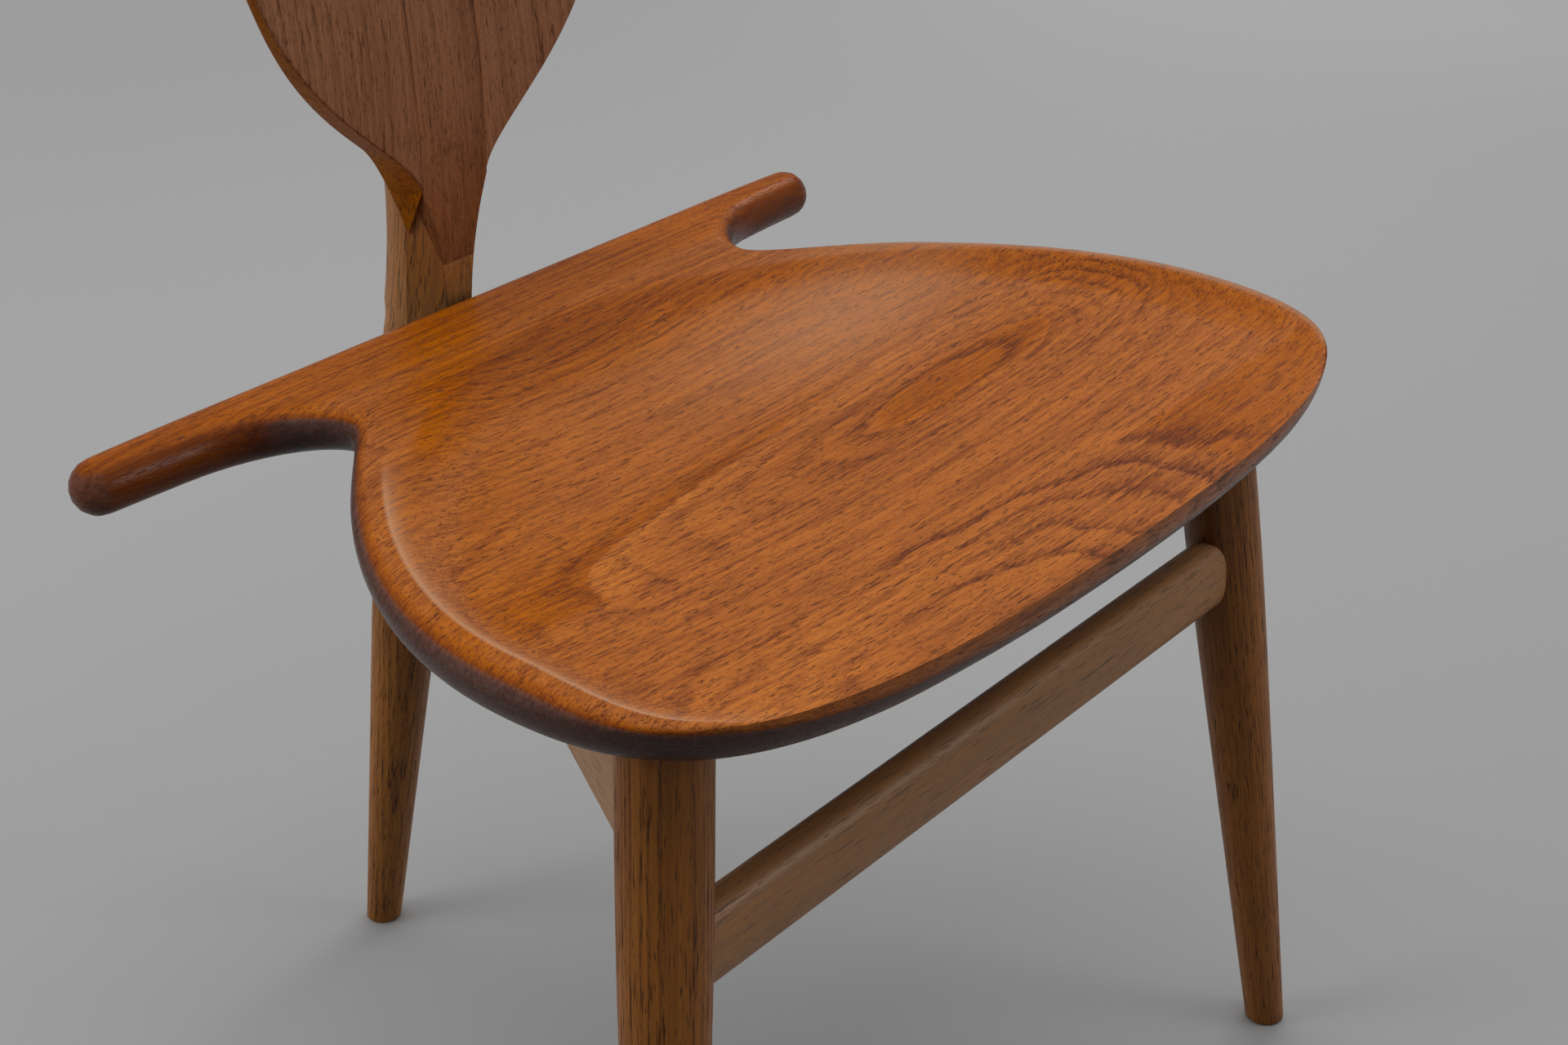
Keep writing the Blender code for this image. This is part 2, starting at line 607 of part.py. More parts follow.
def seat_board(name):
    """Carved seat: an edge band of rings round the outline, closed by the dished top and the flat underside."""
    half = seat_outline()
    ring = whole_ring(half)
    place, rim, share = ring[:, :2], ring[:, 2:3], ring[:, 3]
    step = np.roll(place, -1, axis=0) - np.roll(place, 1, axis=0)
    step /= np.linalg.norm(step, axis=1)[:, None]
    inward = np.column_stack([-step[:, 1], step[:, 0]])
    crease = place + inward * rim
    side_rows = slice(FRONT_STEPS // 2 + 1, FRONT_STEPS + SIDE_STEPS + ROOT_STEPS // 2)
    rim_x, rim_y = crease[side_rows, 0], crease[side_rows, 1]
    crease_z = seat_top(crease[:, 0], crease[:, 1], rim_x, rim_y)
    rim = rim[:, 0]
    sided = np.clip((rim - RIM_FRONT_W) / (RIM_SIDE_W - RIM_FRONT_W), 0.0, 1.0)
    height = crease_z - SEAT_UNDER
    edge = EDGE_FRONT + (EDGE_SIDE - EDGE_FRONT) * sided
    drop = HORN_DROP * np.clip((np.abs(place[:, 0]) - HORN_REACH + HORN_DROP_RUN) / HORN_DROP_RUN, 0, 1) ** 2
    rings = []
    for turn in np.radians([90, 60, 30, 0, -27, -47, -66, -90]):
        run = rim if turn >= 0 else UNDERCUT
        fall = edge - edge * math.sin(turn) if turn >= 0 else edge + (edge - height) * math.sin(turn)
        inset = run * (1 - math.cos(turn))
        round_in = HORN_R * (1 - math.cos(turn * HORN_TURN))
        round_z = SEAT_UNDER + HORN_R + HORN_R * math.sin(turn * HORN_TURN) / math.sin(math.pi / 2 * HORN_TURN)
        inset = inset + (round_in - inset) * share
        z = crease_z - fall
        z = z + (round_z - drop - z) * share
        rings.append(np.column_stack([place + inward * inset[:, None], z]))
    count = len(place)
    points = [tuple(p) for p in np.vstack(rings)]
    faces = []
    for k in range(len(rings) - 1):
        for i in range(count):
            j = (i + 1) % count
            faces.append((k * count + i, k * count + j, (k + 1) * count + j, (k + 1) * count + i))
    columns = SEAT_GRID * np.arange(-(SEAT_WIDE_X // SEAT_GRID), SEAT_WIDE_X // SEAT_GRID + 1)
    grid_x, grid_y = np.meshgrid(columns, np.arange(SEAT_FRONT_Y, SEAT_REAR_Y, SEAT_GRID))
    margin = SEAT_GRID / 3
    inner = [spot for spot in zip(grid_x.ravel(), grid_y.ravel()) if clear_inside(*spot, rings[0][:, :2], margin)]
    add_cap(points, faces, rings[0], 0, inner, lambda x, y: seat_top(x, y, rim_x, rim_y))
    add_cap(points, faces, rings[-1], (len(rings) - 1) * count, [], None)
    return solid(name, points, faces, TEAK, 30.0)


def clear_inside(x, y, ring, margin):
    """True where a point lies inside a closed ring and at least the margin away from it."""
    ax, ay = ring[:, 0], ring[:, 1]
    bx, by = np.roll(ax, -1), np.roll(ay, -1)
    crosses = (ay > y) != (by > y)
    at = ax + (y - ay) / np.where(by == ay, 1.0, by - ay) * (bx - ax)
    if np.count_nonzero(crosses & (x < at)) % 2 == 0:
        return False
    run = np.clip(((x - ax) * (bx - ax) + (y - ay) * (by - ay)) / ((bx - ax) ** 2 + (by - ay) ** 2), 0, 1)
    return float(np.min(np.hypot(ax + run * (bx - ax) - x, ay + run * (by - ay) - y))) > margin


def add_cap(points, faces, ring, first, inner, height):
    """Fill a ring with triangles through the inner points, which get their height from a function."""
    count = len(ring)
    plan = [Vector((p[0], p[1])) for p in ring] + [Vector(p) for p in inner]
    edges = [(i, (i + 1) % count) for i in range(count)]
    spots, _, triangles, origins, _, _ = delaunay_2d_cdt(plan, edges, [list(range(count))], 1, 1e-9)
    index = []
    for spot, source in zip(spots, origins):
        if source and source[0] < count:
            index.append(first + source[0])
        else:
            index.append(len(points))
            points.append((spot.x, spot.y, float(height(np.array(spot.x), np.array(spot.y)))))
    for triangle in triangles:
        faces.append(tuple(index[i] for i in triangle))


def hinge_leaf(name, middle_x, upper):
    """Hinge leaf: a plate with its knuckles. The upper leaf has the middle knuckle, the lower the outer two."""
    sign = 1 if upper else -1
    face = AXIS_Z + sign * HINGE_SLIT / 2
    back = face + sign * LEAF_T
    low, high = min(face, back), max(face, back)
    clear = AXIS_Y + KNUCKLE_R + KNUCKLE_GAP
    left, right = middle_x - LEAF_W / 2, middle_x + LEAF_W / 2
    plate = box(name, (left, clear, low), (right, AXIS_Y + LEAF_REACH, high), BRASS)
    half = MIDDLE_KNUCKLE / 2
    if upper:
        spans = [(middle_x - half, middle_x + half)]
    else:
        spans = [(left, middle_x - half - KNUCKLE_GAP), (middle_x + half + KNUCKLE_GAP, right)]
    for a, b in spans:
        web = box(name + "_web", (a, AXIS_Y, low), (b, clear + 0.002, high), BRASS)
        eye = rod(name + "_eye", (a, AXIS_Y, AXIS_Z), (b, AXIS_Y, AXIS_Z), KNUCKLE_R, BRASS, 16)
        join(plate, web, eye)
    cut(plate, rod(name + "_bore", (left - 0.01, AXIS_Y, AXIS_Z), (right + 0.01, AXIS_Y, AXIS_Z),
                   PIN_R + PEG_FIT, BRASS, 12))
    return plate


def leaf_room(name, middle_x, upper):
    """Recess for a leaf and its knuckles in the wood behind it."""
    sign = 1 if upper else -1
    face = AXIS_Z + sign * HINGE_SLIT / 2
    ends = sorted((face - sign * 0.004, face + sign * (LEAF_T + FIT)))
    half = LEAF_W / 2 + FIT
    return [box(name + "_plate", (middle_x - half, AXIS_Y, ends[0]),
                (middle_x + half, AXIS_Y + LEAF_REACH + FIT, ends[1]), OAK),
            rod(name + "_knuckle", (middle_x - half, AXIS_Y, AXIS_Z), (middle_x + half, AXIS_Y, AXIS_Z),
                KNUCKLE_R + FIT, OAK, 16)]


def screw_places(middle_x):
    """Three screws of a leaf: two beside each other and one behind them."""
    return [(middle_x - SCREW_SIDE_X, AXIS_Y + SCREW_NEAR), (middle_x + SCREW_SIDE_X, AXIS_Y + SCREW_NEAR),
            (middle_x, AXIS_Y + SCREW_FAR)]


def screw(name, x, y, upper, grow=0.0):
    """Countersunk screw, its head flush with the leaf. With grow it is the hole for it."""
    sign = 1 if upper else -1
    face = AXIS_Z + sign * HINGE_SLIT / 2
    stations = [(-grow * 2, SCREW_HEAD_R + grow), (0.0003, SCREW_HEAD_R + grow),
                (SCREW_HEAD_H, SCREW_R + grow), (SCREW_L - 0.003, SCREW_R + grow),
                (SCREW_L + grow, 0.0004 + grow)]
    if grow == 0.0:
        stations[0] = (0.0, SCREW_HEAD_R)
    return turned(name, (x, y, face), (x, y, face + sign), stations, BRASS, 10)


def dowel(name, middle, along, depth, radius, finish=BEECH, grow=0.0):
    """Round dowel centred on a joint. With grow it is the hole for it."""
    reach = along.normalized() * (depth + grow)
    return rod(name, middle - reach, middle + reach, radius + grow, finish, 12)


def rail_joints():
    """Every dowel of the rails: name, middle on the joint, direction, rail and leg that it joins."""
    joints = []
    for side, word in ((-1, "left"), (1, "right")):
        x, y = front_leg_at(FRONT_RAIL_Z)
        shoulder = x - leg_radius(FRONT_RAIL_Z, FRONT_FOOT_R, FRONT_LEG_R, FRONT_TAPER_Z)
        for k, level in enumerate((-0.5, 0.5)):
            middle = Vector((side * shoulder, y, FRONT_RAIL_Z + level * FRONT_DOWEL_PITCH))
            joints.append((f"front_rail_dowel_{word}_{k + 1}", middle, Vector((1, 0, 0)),
                           "front_rail", "front_leg_" + word))
        start, end, along, outward = side_line(side)
        for k, level in enumerate((-0.5, 0.5)):
            rise = Vector((0, 0, level * SIDE_DOWEL_PITCH + side * SIDE_DOWEL_STAGGER))
            middle = start + along * FRONT_LEG_R + rise
            joints.append((f"side_rail_dowel_{word}_front_{k + 1}", middle, along,
                           "side_rail_" + word, "front_leg_" + word))
            middle = end - along * REAR_LEG_R + rise
            joints.append((f"side_rail_dowel_{word}_rear_{k + 1}", middle, along,
                           "side_rail_" + word, "rear_leg"))
    return joints


# Wooden pieces of the frame
pieces = {"front_leg_left": front_leg("front_leg_left", -1),
          "front_leg_right": front_leg("front_leg_right", 1),
          "rear_leg": rear_leg("rear_leg"),
          "front_rail": front_rail("front_rail"),
          "side_rail_left": side_rail("side_rail_left", -1),
          "side_rail_right": side_rail("side_rail_right", 1),
          "back_centre": back_centre("back_centre"),
          "back_wing_left": back_wing("back_wing_left", -1),
          "back_wing_right": back_wing("back_wing_right", 1)}

# Dowels and their holes
for dowel_name, middle, along, rail_name, leg_name in rail_joints():
    dowel(dowel_name, middle, along, DOWEL_IN, DOWEL_R)
    for piece in (pieces[rail_name], pieces[leg_name]):
        cut(piece, dowel(dowel_name + "_hole", middle, along, DOWEL_IN, DOWEL_R, BEECH, PEG_FIT))
scarf_y = float(neck_front(SCARF_Z)) + SCARF_DOWEL_Y
scarf_z = SCARF_Z + SCARF_SLOPE * SCARF_DOWEL_Y
for word, side in (("left", -1), ("right", 1)):
    middle = Vector((side * SCARF_DOWEL_X, scarf_y, scarf_z))
    square = Vector((0.0, -SCARF_SLOPE, 1.0))
    dowel("scarf_dowel_" + word, middle, square, SCARF_DOWEL_IN, SCARF_DOWEL_R)
    for piece in (pieces["rear_leg"], pieces["back_centre"]):
        cut(piece, dowel("scarf_hole", middle, square, SCARF_DOWEL_IN, SCARF_DOWEL_R, BEECH, PEG_FIT))

# Box under the seat, in its grooves
wall = box_front("box_front")
floor = box_floor("box_floor")
cut(wall, box_floor("floor_groove", FIT))
for word in ("left", "right"):
    cut(pieces["side_rail_" + word], box_front("wall_groove", FIT), box_floor("floor_groove", FIT))

# Seat on its hinges, and the buffers that it rests on
pivot = bpy.data.objects.new("seat_pivot", None)
bpy.context.scene.collection.objects.link(pivot)
pivot.location = (0.0, AXIS_Y, AXIS_Z)
seat = seat_board("seat")
moving = [seat]
for side, word in ((-1, "left"), (1, "right")):
    hinge_x = side * HINGE_X
    leg = pieces["front_leg_" + word]
    seat_leaf = hinge_leaf("hinge_seat_leaf_" + word, hinge_x, True)
    leg_leaf = hinge_leaf("hinge_leg_leaf_" + word, hinge_x, False)
    cut(seat, *leaf_room("seat_recess", hinge_x, True))
    cut(leg, *leaf_room("leg_recess", hinge_x, False))
    rod("hinge_pin_" + word, (hinge_x - LEAF_W / 2, AXIS_Y, AXIS_Z), (hinge_x + LEAF_W / 2, AXIS_Y, AXIS_Z),
        PIN_R, BRASS, 12)
    moving.append(seat_leaf)
    for k, (x, y) in enumerate(screw_places(hinge_x)):
        cut(seat, screw("seat_hole", x, y, True, PEG_FIT))
        cut(seat_leaf, screw("leaf_hole", x, y, True, PEG_FIT))
        cut(leg, screw("leg_hole", x, y, False, PEG_FIT))
        cut(leg_leaf, screw("leaf_hole", x, y, False, PEG_FIT))
        moving.append(screw(f"hinge_seat_screw_{word}_{k + 1}", x, y, True))
        screw(f"hinge_leg_screw_{word}_{k + 1}", x, y, False)
    start, end, along, outward = side_line(side)
    buffer = start + along * ((BUFFER_Y - start.y) / along.y)
    rod("seat_buffer_" + word, (buffer.x, buffer.y, SIDE_RAIL_TOP + FIT / 3),
        (buffer.x, buffer.y, SEAT_UNDER - FIT), BUFFER_R, LEATHER, 16)
for piece in moving:
    piece.parent = pivot
    piece.location = -pivot.location
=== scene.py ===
import math
from functools import partial

import bmesh
import bpy
import numpy as np
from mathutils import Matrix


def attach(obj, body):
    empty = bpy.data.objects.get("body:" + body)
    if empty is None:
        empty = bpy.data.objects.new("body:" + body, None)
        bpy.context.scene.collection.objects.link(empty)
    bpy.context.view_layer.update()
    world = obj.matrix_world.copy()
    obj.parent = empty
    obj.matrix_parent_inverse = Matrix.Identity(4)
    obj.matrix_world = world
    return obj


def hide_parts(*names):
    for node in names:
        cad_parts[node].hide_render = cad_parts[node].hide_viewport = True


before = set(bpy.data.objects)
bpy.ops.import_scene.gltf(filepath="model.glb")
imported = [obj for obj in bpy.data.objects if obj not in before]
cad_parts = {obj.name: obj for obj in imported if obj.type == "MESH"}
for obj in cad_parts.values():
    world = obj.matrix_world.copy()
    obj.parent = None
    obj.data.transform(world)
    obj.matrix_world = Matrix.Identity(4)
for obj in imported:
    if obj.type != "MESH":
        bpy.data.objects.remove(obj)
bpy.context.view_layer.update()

# Front legs
# Two oak legs turned from straight-grained stock, thin at the foot, splayed outward and forward.
# Their flat tops are let in for the lower leaves of the hinges, and the rails are dowelled into them.
FIT = 0.0003
LEG_TOP = 0.4265
FRONT_FOOT = (0.2656, -0.22375)
FRONT_SPLAY = (0.141, 0.0998)
FRONT_TURNING = (0.0112, 0.0203, 0.315)
FOOT_Z, FOOT_INSET = (0.0, 0.0004, 0.0012), (0.0012, 0.0005, 0.0)
HINGE_X, AXIS_Y, AXIS_Z = 0.20546, -0.2057853, 0.42675
LEAF_W, LEAF_T, LEAF_REACH, KNUCKLE_R, HINGE_SLIT = 0.026, 0.002, 0.0355, 0.0032, 0.0005


def leg_radius(z, turning):
    """Radius at height z: a straight line up from the foot's radius, eased into the full radius at the taper's end."""
    foot, full, taper = turning
    growing = foot + (full - foot) * z / taper
    return 0.5 * (growing + full - np.sqrt((growing - full) ** 2 + 0.0012 ** 2))


def front_leg_at(z):
    """Middle of the right front leg at height z: a straight line from the foot."""
    return FRONT_FOOT[0] - FRONT_SPLAY[0] * z, FRONT_FOOT[1] + FRONT_SPLAY[1] * z


def ring_skin(rings):
    """Points and faces of a closed skin: quads join each ring to the next, a fan to its middle closes each end."""
    count, around = rings.shape[:2]
    start = np.arange(count - 1)[:, None] * around
    here = np.arange(around)
    beside = (here + 1) % around
    quads = np.stack([start + here, start + beside, start + around + beside, start + around + here], -1)
    middle, last = count * around, (count - 1) * around
    fans = np.stack([np.stack([np.full(around, middle), beside, here], -1),
                     np.stack([np.full(around, middle + 1), last + here, last + beside], -1)])
    points = np.vstack([rings.reshape(-1, 3), rings[0].mean(0), rings[-1].mean(0)])
    return points, quads.reshape(-1, 4).tolist() + fans.reshape(-1, 3).tolist()


def make_piece(name, points, faces, sharp=38.0):
    """Object from points and faces: doubles merged, faces outward, smooth up to the sharp angle in degrees."""
    mesh = bpy.data.meshes.new(name)
    mesh.from_pydata(np.asarray(points).tolist(), [], faces)
    work = bmesh.new()
    work.from_mesh(mesh)
    bmesh.ops.remove_doubles(work, verts=work.verts, dist=3e-6)
    bmesh.ops.dissolve_degenerate(work, edges=work.edges, dist=1e-7)
    bmesh.ops.recalc_face_normals(work, faces=work.faces)
    work.to_mesh(mesh)
    work.free()
    mesh.shade_smooth()
    mesh.set_sharp_from_angle(angle=math.radians(sharp))
    piece = bpy.data.objects.new(name, mesh)
    bpy.context.scene.collection.objects.link(piece)
    return piece


def cut_out(piece, cutters, sharp=38.0):
    """Take the volume of each cutter out of a piece, and remove the cutters."""
    for cutter in cutters:
        step = piece.modifiers.new("cut", "BOOLEAN")
        step.operation, step.solver, step.object = "DIFFERENCE", "EXACT", cutter
    view = bpy.context.evaluated_depsgraph_get()
    mesh = bpy.data.meshes.new_from_object(piece.evaluated_get(view))
    piece.modifiers.clear()
    piece.data = mesh
    mesh.shade_smooth()
    mesh.set_sharp_from_angle(angle=math.radians(sharp))
    for cutter in cutters:
        bpy.data.objects.remove(cutter, do_unlink=True)


def leaf_recess(middle_x, sign):
    """Cutters for the bed of a hinge leaf: a flat box for the plate and a round bar for the knuckles."""
    face = AXIS_Z + sign * HINGE_SLIT / 2
    low, high = sorted((face - sign * 0.004, face + sign * (LEAF_T + FIT)))
    half = LEAF_W / 2 + FIT
    near, far = AXIS_Y, AXIS_Y + LEAF_REACH + FIT
    plan = np.array([(middle_x - half, near), (middle_x + half, near), (middle_x + half, far), (middle_x - half, far)])
    plate = np.stack([np.column_stack([plan, np.full(4, z)]) for z in (low, high)])
    turn = np.linspace(0, 2 * np.pi, 24, endpoint=False)
    round_bar = np.stack([np.column_stack([np.full(24, x), AXIS_Y + (KNUCKLE_R + FIT) * np.cos(turn),
                                           AXIS_Z + (KNUCKLE_R + FIT) * np.sin(turn)])
                          for x in (middle_x - half, middle_x + half)])
    return [make_piece("bed_plate", *ring_skin(plate)), make_piece("bed_knuckle", *ring_skin(round_bar))]


def points_of(piece):
    """Array of the points of a piece's mesh."""
    points = np.empty(len(piece.data.vertices) * 3)
    piece.data.vertices.foreach_get("co", points)
    return points.reshape(-1, 3)


def lay_grain(piece, start, along, across, rings, tone=0.0, lines=1.0, wear_and_painted_light=0.0):
    """Give every point its place in the board it was cut from.

    Attribute grain: the metres along, across and through the board. Attribute figure_and_painted_light: the count of
    growth rings, a lighter or darker tone that also carries painted light and shade, and how strongly the rings show.
    Attribute
    wear_and_painted_light: above 0 how pale and grey the wood is, from a drier finish and from painted sheen and light,
    below 0 how rich its colour is, as painted shade. All are numbers or arrays, and the parts of
    figure_and_painted_light also functions of the place."""
    mesh = piece.data
    along = np.array(along) / np.linalg.norm(along)
    through = np.cross(along, across)
    through /= np.linalg.norm(through)
    axes = np.stack([along, np.cross(through, along), through], axis=1)
    place = (points_of(piece) - np.array(start)) @ axes
    figure_and_painted_light = np.stack([np.broadcast_to(part(*place.T) if callable(part) else part, len(place))
                       for part in (rings, tone, lines)], axis=1)
    wear_and_light_share = np.stack([np.broadcast_to(wear_and_painted_light, len(place))] * 3, axis=1)
    for key, values in (("grain", place), ("figure_and_painted_light", figure_and_painted_light), ("wear_and_painted_light", wear_and_light_share)):
        layer = mesh.attributes.new(key, "FLOAT_VECTOR", "POINT")
        layer.data.foreach_set("vector", np.ascontiguousarray(values, dtype=np.float32).ravel())


def new_finish(name):
    """New finish and its shader."""
    finish = bpy.data.materials.new(name)
    finish.use_nodes = True
    return finish, finish.node_tree.nodes["Principled BSDF"]


def feed(finish, shader, **sources):
    """Link sockets to the shader's inputs, which are named with an underscore for a space."""
    for key, source in sources.items():
        finish.node_tree.links.new(source, shader.inputs[key.replace("_", " ")])


def add_node(finish, kind, inputs, **settings):
    """New node in a finish: settings first, then each input linked to a socket or set to a value."""
    made = finish.node_tree.nodes.new(kind)
    for key, value in settings.items():
        setattr(made, key, value)
    for key, value in inputs.items():
        if isinstance(value, bpy.types.NodeSocket):
            finish.node_tree.links.new(value, made.inputs[key])
        else:
            made.inputs[key].default_value = value
    return made


def sums(finish, operation, first, second=0.0, third=0.0):
    """Result of one arithmetic step on sockets or numbers."""
    return add_node(finish, "ShaderNodeMath", {0: first, 1: second, 2: third}, operation=operation).outputs[0]


def scaled(finish, value, factor, base=0.0):
    """A value times a factor, plus a base."""
    return sums(finish, "MULTIPLY_ADD", value, factor, base)


def sway(finish, value, noise, reach):
    """A value moved up or down by noise that runs from 0 to 1, over so wide a reach."""
    return scaled(finish, sums(finish, "SUBTRACT", noise, 0.5), reach, value)


def mixed(finish, share, first, second):
    """Colour between two colours or sockets, by the share of the second."""
    return add_node(finish, "ShaderNodeMix", {0: share, 6: first, 7: second}, data_type="RGBA").outputs[2]


def ease(finish, value, low, high):
    """Smooth step of a value from 0 at low to 1 at high."""
    return add_node(finish, "ShaderNodeMapRange", {"Value": value, "From Min": low, "From Max": high},
                    interpolation_type="SMOOTHSTEP").outputs[0]


def cloud(finish, place, stretch, detail=3.0, rough=0.55):
    """Soft noise from 0 to 1 on board coordinates, with so many waves to the metre along, across and through."""
    spread = add_node(finish, "ShaderNodeMapping", {"Vector": place, "Scale": stretch}).outputs[0]
    return add_node(finish, "ShaderNodeTexNoise", {"Vector": spread, "Scale": 1.0, "Detail": detail,
                                                   "Roughness": rough}).outputs[0]


def dashes(finish, place, length, width, low, high, crowd):
    """Pores: 1 inside short dashes that lie along the grain, 0 between them, cut out of stretched noise.

    A crowd above 0.5 makes more of them, one below makes fewer."""
    seed = cloud(finish, place, (1 / length, 1 / width, 1 / width), 1.5, 0.5)
    return ease(finish, sway(finish, seed, crowd, 0.12), low, high)


def wood(name, early, late, pore, pale=(0.50, 0.29, 0.17), wander=0.5, fray=0.6, ring_show=0.8, streak=0.6,
         drift=0.35, pore_length=0.014, pore_width=0.0014, pore_share=0.57, pore_show=0.8, gloss=0.42,
         relief=0.0003, shine=0.3):
    """Oiled wood: growth rings that darken slowly and end sharply, fibre streaks, slow drifts of tone, dark pores.

    Rings come from the attribute figure_and_painted_light, whose tone lightens or darkens the wood and also carries
    painted light and shade. They wander with soft noise and fray along the fibres. Pores crowd where a ring starts.
    Where the attribute wear_and_painted_light is above 0, the wood is paler and greyer, for a drier finish and for
    painted sheen and light, and below 0 its colour is richer, as painted shade."""
    finish, shader = new_finish(name)
    place, figure_and_painted_light, wear_and_light_vector = (add_node(finish, "ShaderNodeAttribute", {}, attribute_name=key).outputs["Vector"]
                           for key in ("grain", "figure_and_painted_light", "wear_and_painted_light"))
    noise, step, product = partial(cloud, finish, place), partial(sums, finish), partial(scaled, finish)
    wear_and_painted_light = add_node(finish, "ShaderNodeSeparateXYZ", {"Vector": wear_and_light_vector}).outputs["X"]
    rings, tone, lines = add_node(finish, "ShaderNodeSeparateXYZ", {"Vector": figure_and_painted_light}).outputs
    slow = noise((7.0, 45.0, 45.0), 3.0)
    quick = noise((28.0, 560.0, 560.0), 2.0)
    count = sway(finish, sway(finish, rings, slow, wander * 2.0), quick, fray)
    ripe = add_node(finish, "ShaderNodeValToRGB", {"Fac": step("FRACT", count)})
    stops = ripe.color_ramp.elements
    for position in (0.05, 0.45, 0.76, 0.9):
        stops.new(position)
    for stop, level in zip(stops, (0.1, 0.0, 0.16, 0.6, 1.0, 0.08)):
        stop.color = (level, level, level, 1.0)
    chance = add_node(finish, "ShaderNodeTexWhiteNoise", {"W": step("FLOOR", count)},
                      noise_dimensions="1D").outputs["Value"]
    strength = product(product(chance, 0.7, 0.3), lines)
    ripeness = product(ripe.outputs[0], strength)
    darkness = product(ripeness, ring_show)
    fibre = noise((8.0, 430.0, 430.0), 4.0, 0.68)
    wide = noise((4.0, 26.0, 26.0), 2.0)
    darkness = sway(finish, sway(finish, darkness, fibre, streak * 3.0), wide, drift * 2.0)
    darkness = add_node(finish, "ShaderNodeClamp", {"Value": step("ADD", darkness, 0.25)}).outputs[0]
    ground = mixed(finish, darkness, (*early, 1.0), (*late, 1.0))
    dark = step("MAXIMUM", product(tone, -1.0), 0.0)
    rich = product(step("MINIMUM", dark, 0.5), 0.25, 1.0)
    very_dark = step("MAXIMUM", step("SUBTRACT", dark, 0.9), 0.0)
    rich = product(very_dark, -0.45, rich)
    rich = step("SUBTRACT", rich, step("MINIMUM", wear_and_painted_light, 0.0))
    toned = add_node(finish, "ShaderNodeHueSaturation",
                     {"Hue": product(tone, 0.006, 0.5), "Saturation": rich,
                      "Value": product(tone, 0.4, 1.0), "Color": ground}).outputs[0]
    pore_end = pore_share + 0.1
    holes = step("MAXIMUM", dashes(finish, place, pore_length, pore_width, pore_share, pore_end, ripeness),
                 dashes(finish, place, pore_length * 0.4, pore_width * 0.55, pore_share, pore_end, ripeness))
    oiled = mixed(finish, product(holes, pore_show), toned, (*pore, 1.0))
    uneven = product(fibre, 0.8, 0.35)
    wear_and_light_share = product(step("MAXIMUM", wear_and_painted_light, 0.0), uneven)
    colour = mixed(finish, wear_and_light_share, oiled, (*pale, 1.0))
    rough = product(holes, 0.2, product(fibre, 0.2, gloss - 0.1))
    height = product(holes, -1.0, product(fibre, 0.5))
    raised = add_node(finish, "ShaderNodeBump", {"Strength": 0.5, "Distance": relief, "Height": height})
    feed(finish, shader, Base_Color=colour, Roughness=rough, Normal=raised.outputs[0])
    shader.inputs["Specular IOR Level"].default_value = shine
    return finish


def settle(piece, body, slot, finish, *nodes):
    """Give a piece its finish, let it ride on its body, and let it stand for its nodes."""
    piece.data.materials.clear()
    piece.data.materials.append(finish)
    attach(piece, body)
    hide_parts(*nodes)


oak = wood("oak_oiled", (0.315, 0.110, 0.016), (0.135, 0.041, 0.006), (0.035, 0.012, 0.004), (0.48, 0.33, 0.22),
           wander=0.7, ring_show=0.5, streak=0.75, drift=0.5, pore_length=0.02, pore_width=0.0011, pore_share=0.565)


def turned_leg(side):
    """Front leg: horizontal circles about the splayed middle line, the foot chamfered, the top edge eased."""
    z = np.concatenate([FOOT_Z, np.linspace(0.004, LEG_TOP - 0.0012, 64), [LEG_TOP - 0.0003, LEG_TOP]])
    inset = np.concatenate([FOOT_INSET, np.zeros(64), [0.0002, 0.0006]])
    radius = (leg_radius(z, FRONT_TURNING) - inset)[:, None]
    x, y = front_leg_at(z[:, None])
    turn = np.linspace(0, 2 * np.pi, 96, endpoint=False)[None, :]
    return np.stack([side * x + radius * np.cos(turn), y + radius * np.sin(turn), z[:, None] + 0 * turn], -1)


for side, word in ((-1, "left"), (1, "right")):
    leg = make_piece("turned_leg_" + word, *ring_skin(turned_leg(side)))
    cut_out(leg, leaf_recess(side * HINGE_X, -1))
    lay_grain(leg, (side * FRONT_FOOT[0], FRONT_FOOT[1], side * 0.7), (-side * FRONT_SPLAY[0], FRONT_SPLAY[1], 1.0),
              (0.8, -0.6, 0.0), lambda a, c, t: (0.95 * t + 0.3 * c + 9.0 * (c + 0.012) ** 2 + 0.01 * a) / 0.0026)
    settle(leg, "frame", "oak", oak, "front_leg_" + word)

# Front rail
# One oak rail with a rounded section, well below the seat, shouldered to both front legs.
# Two dowels at each end hold it.
FRONT_RAIL_Z, FRONT_RAIL_H, FRONT_RAIL_T, RAIL_SQUARE = 0.3165, 0.0395, 0.021, 0.72
SHOULDER_BITE = 0.001


def rail_rings():
    """Front rail: a squared ellipse carried across, each end point moved along until it meets the round leg."""
    turn = np.linspace(0, 2 * np.pi, 96, endpoint=False)
    c, s = np.cos(turn), np.sin(turn)
    y = front_leg_at(FRONT_RAIL_Z)[1] + np.sign(c) * np.abs(c) ** RAIL_SQUARE * FRONT_RAIL_T / 2
    z = FRONT_RAIL_Z + np.sign(s) * np.abs(s) ** RAIL_SQUARE * FRONT_RAIL_H / 2
    leg_x, leg_y = front_leg_at(z)
    radius = leg_radius(z, FRONT_TURNING)
    end = leg_x - np.sqrt(radius ** 2 - (y - leg_y) ** 2) + SHOULDER_BITE
    run = np.linspace(-1, 1, 41)[:, None]
    return np.stack([run * end, y + 0 * run, z + 0 * run], -1)


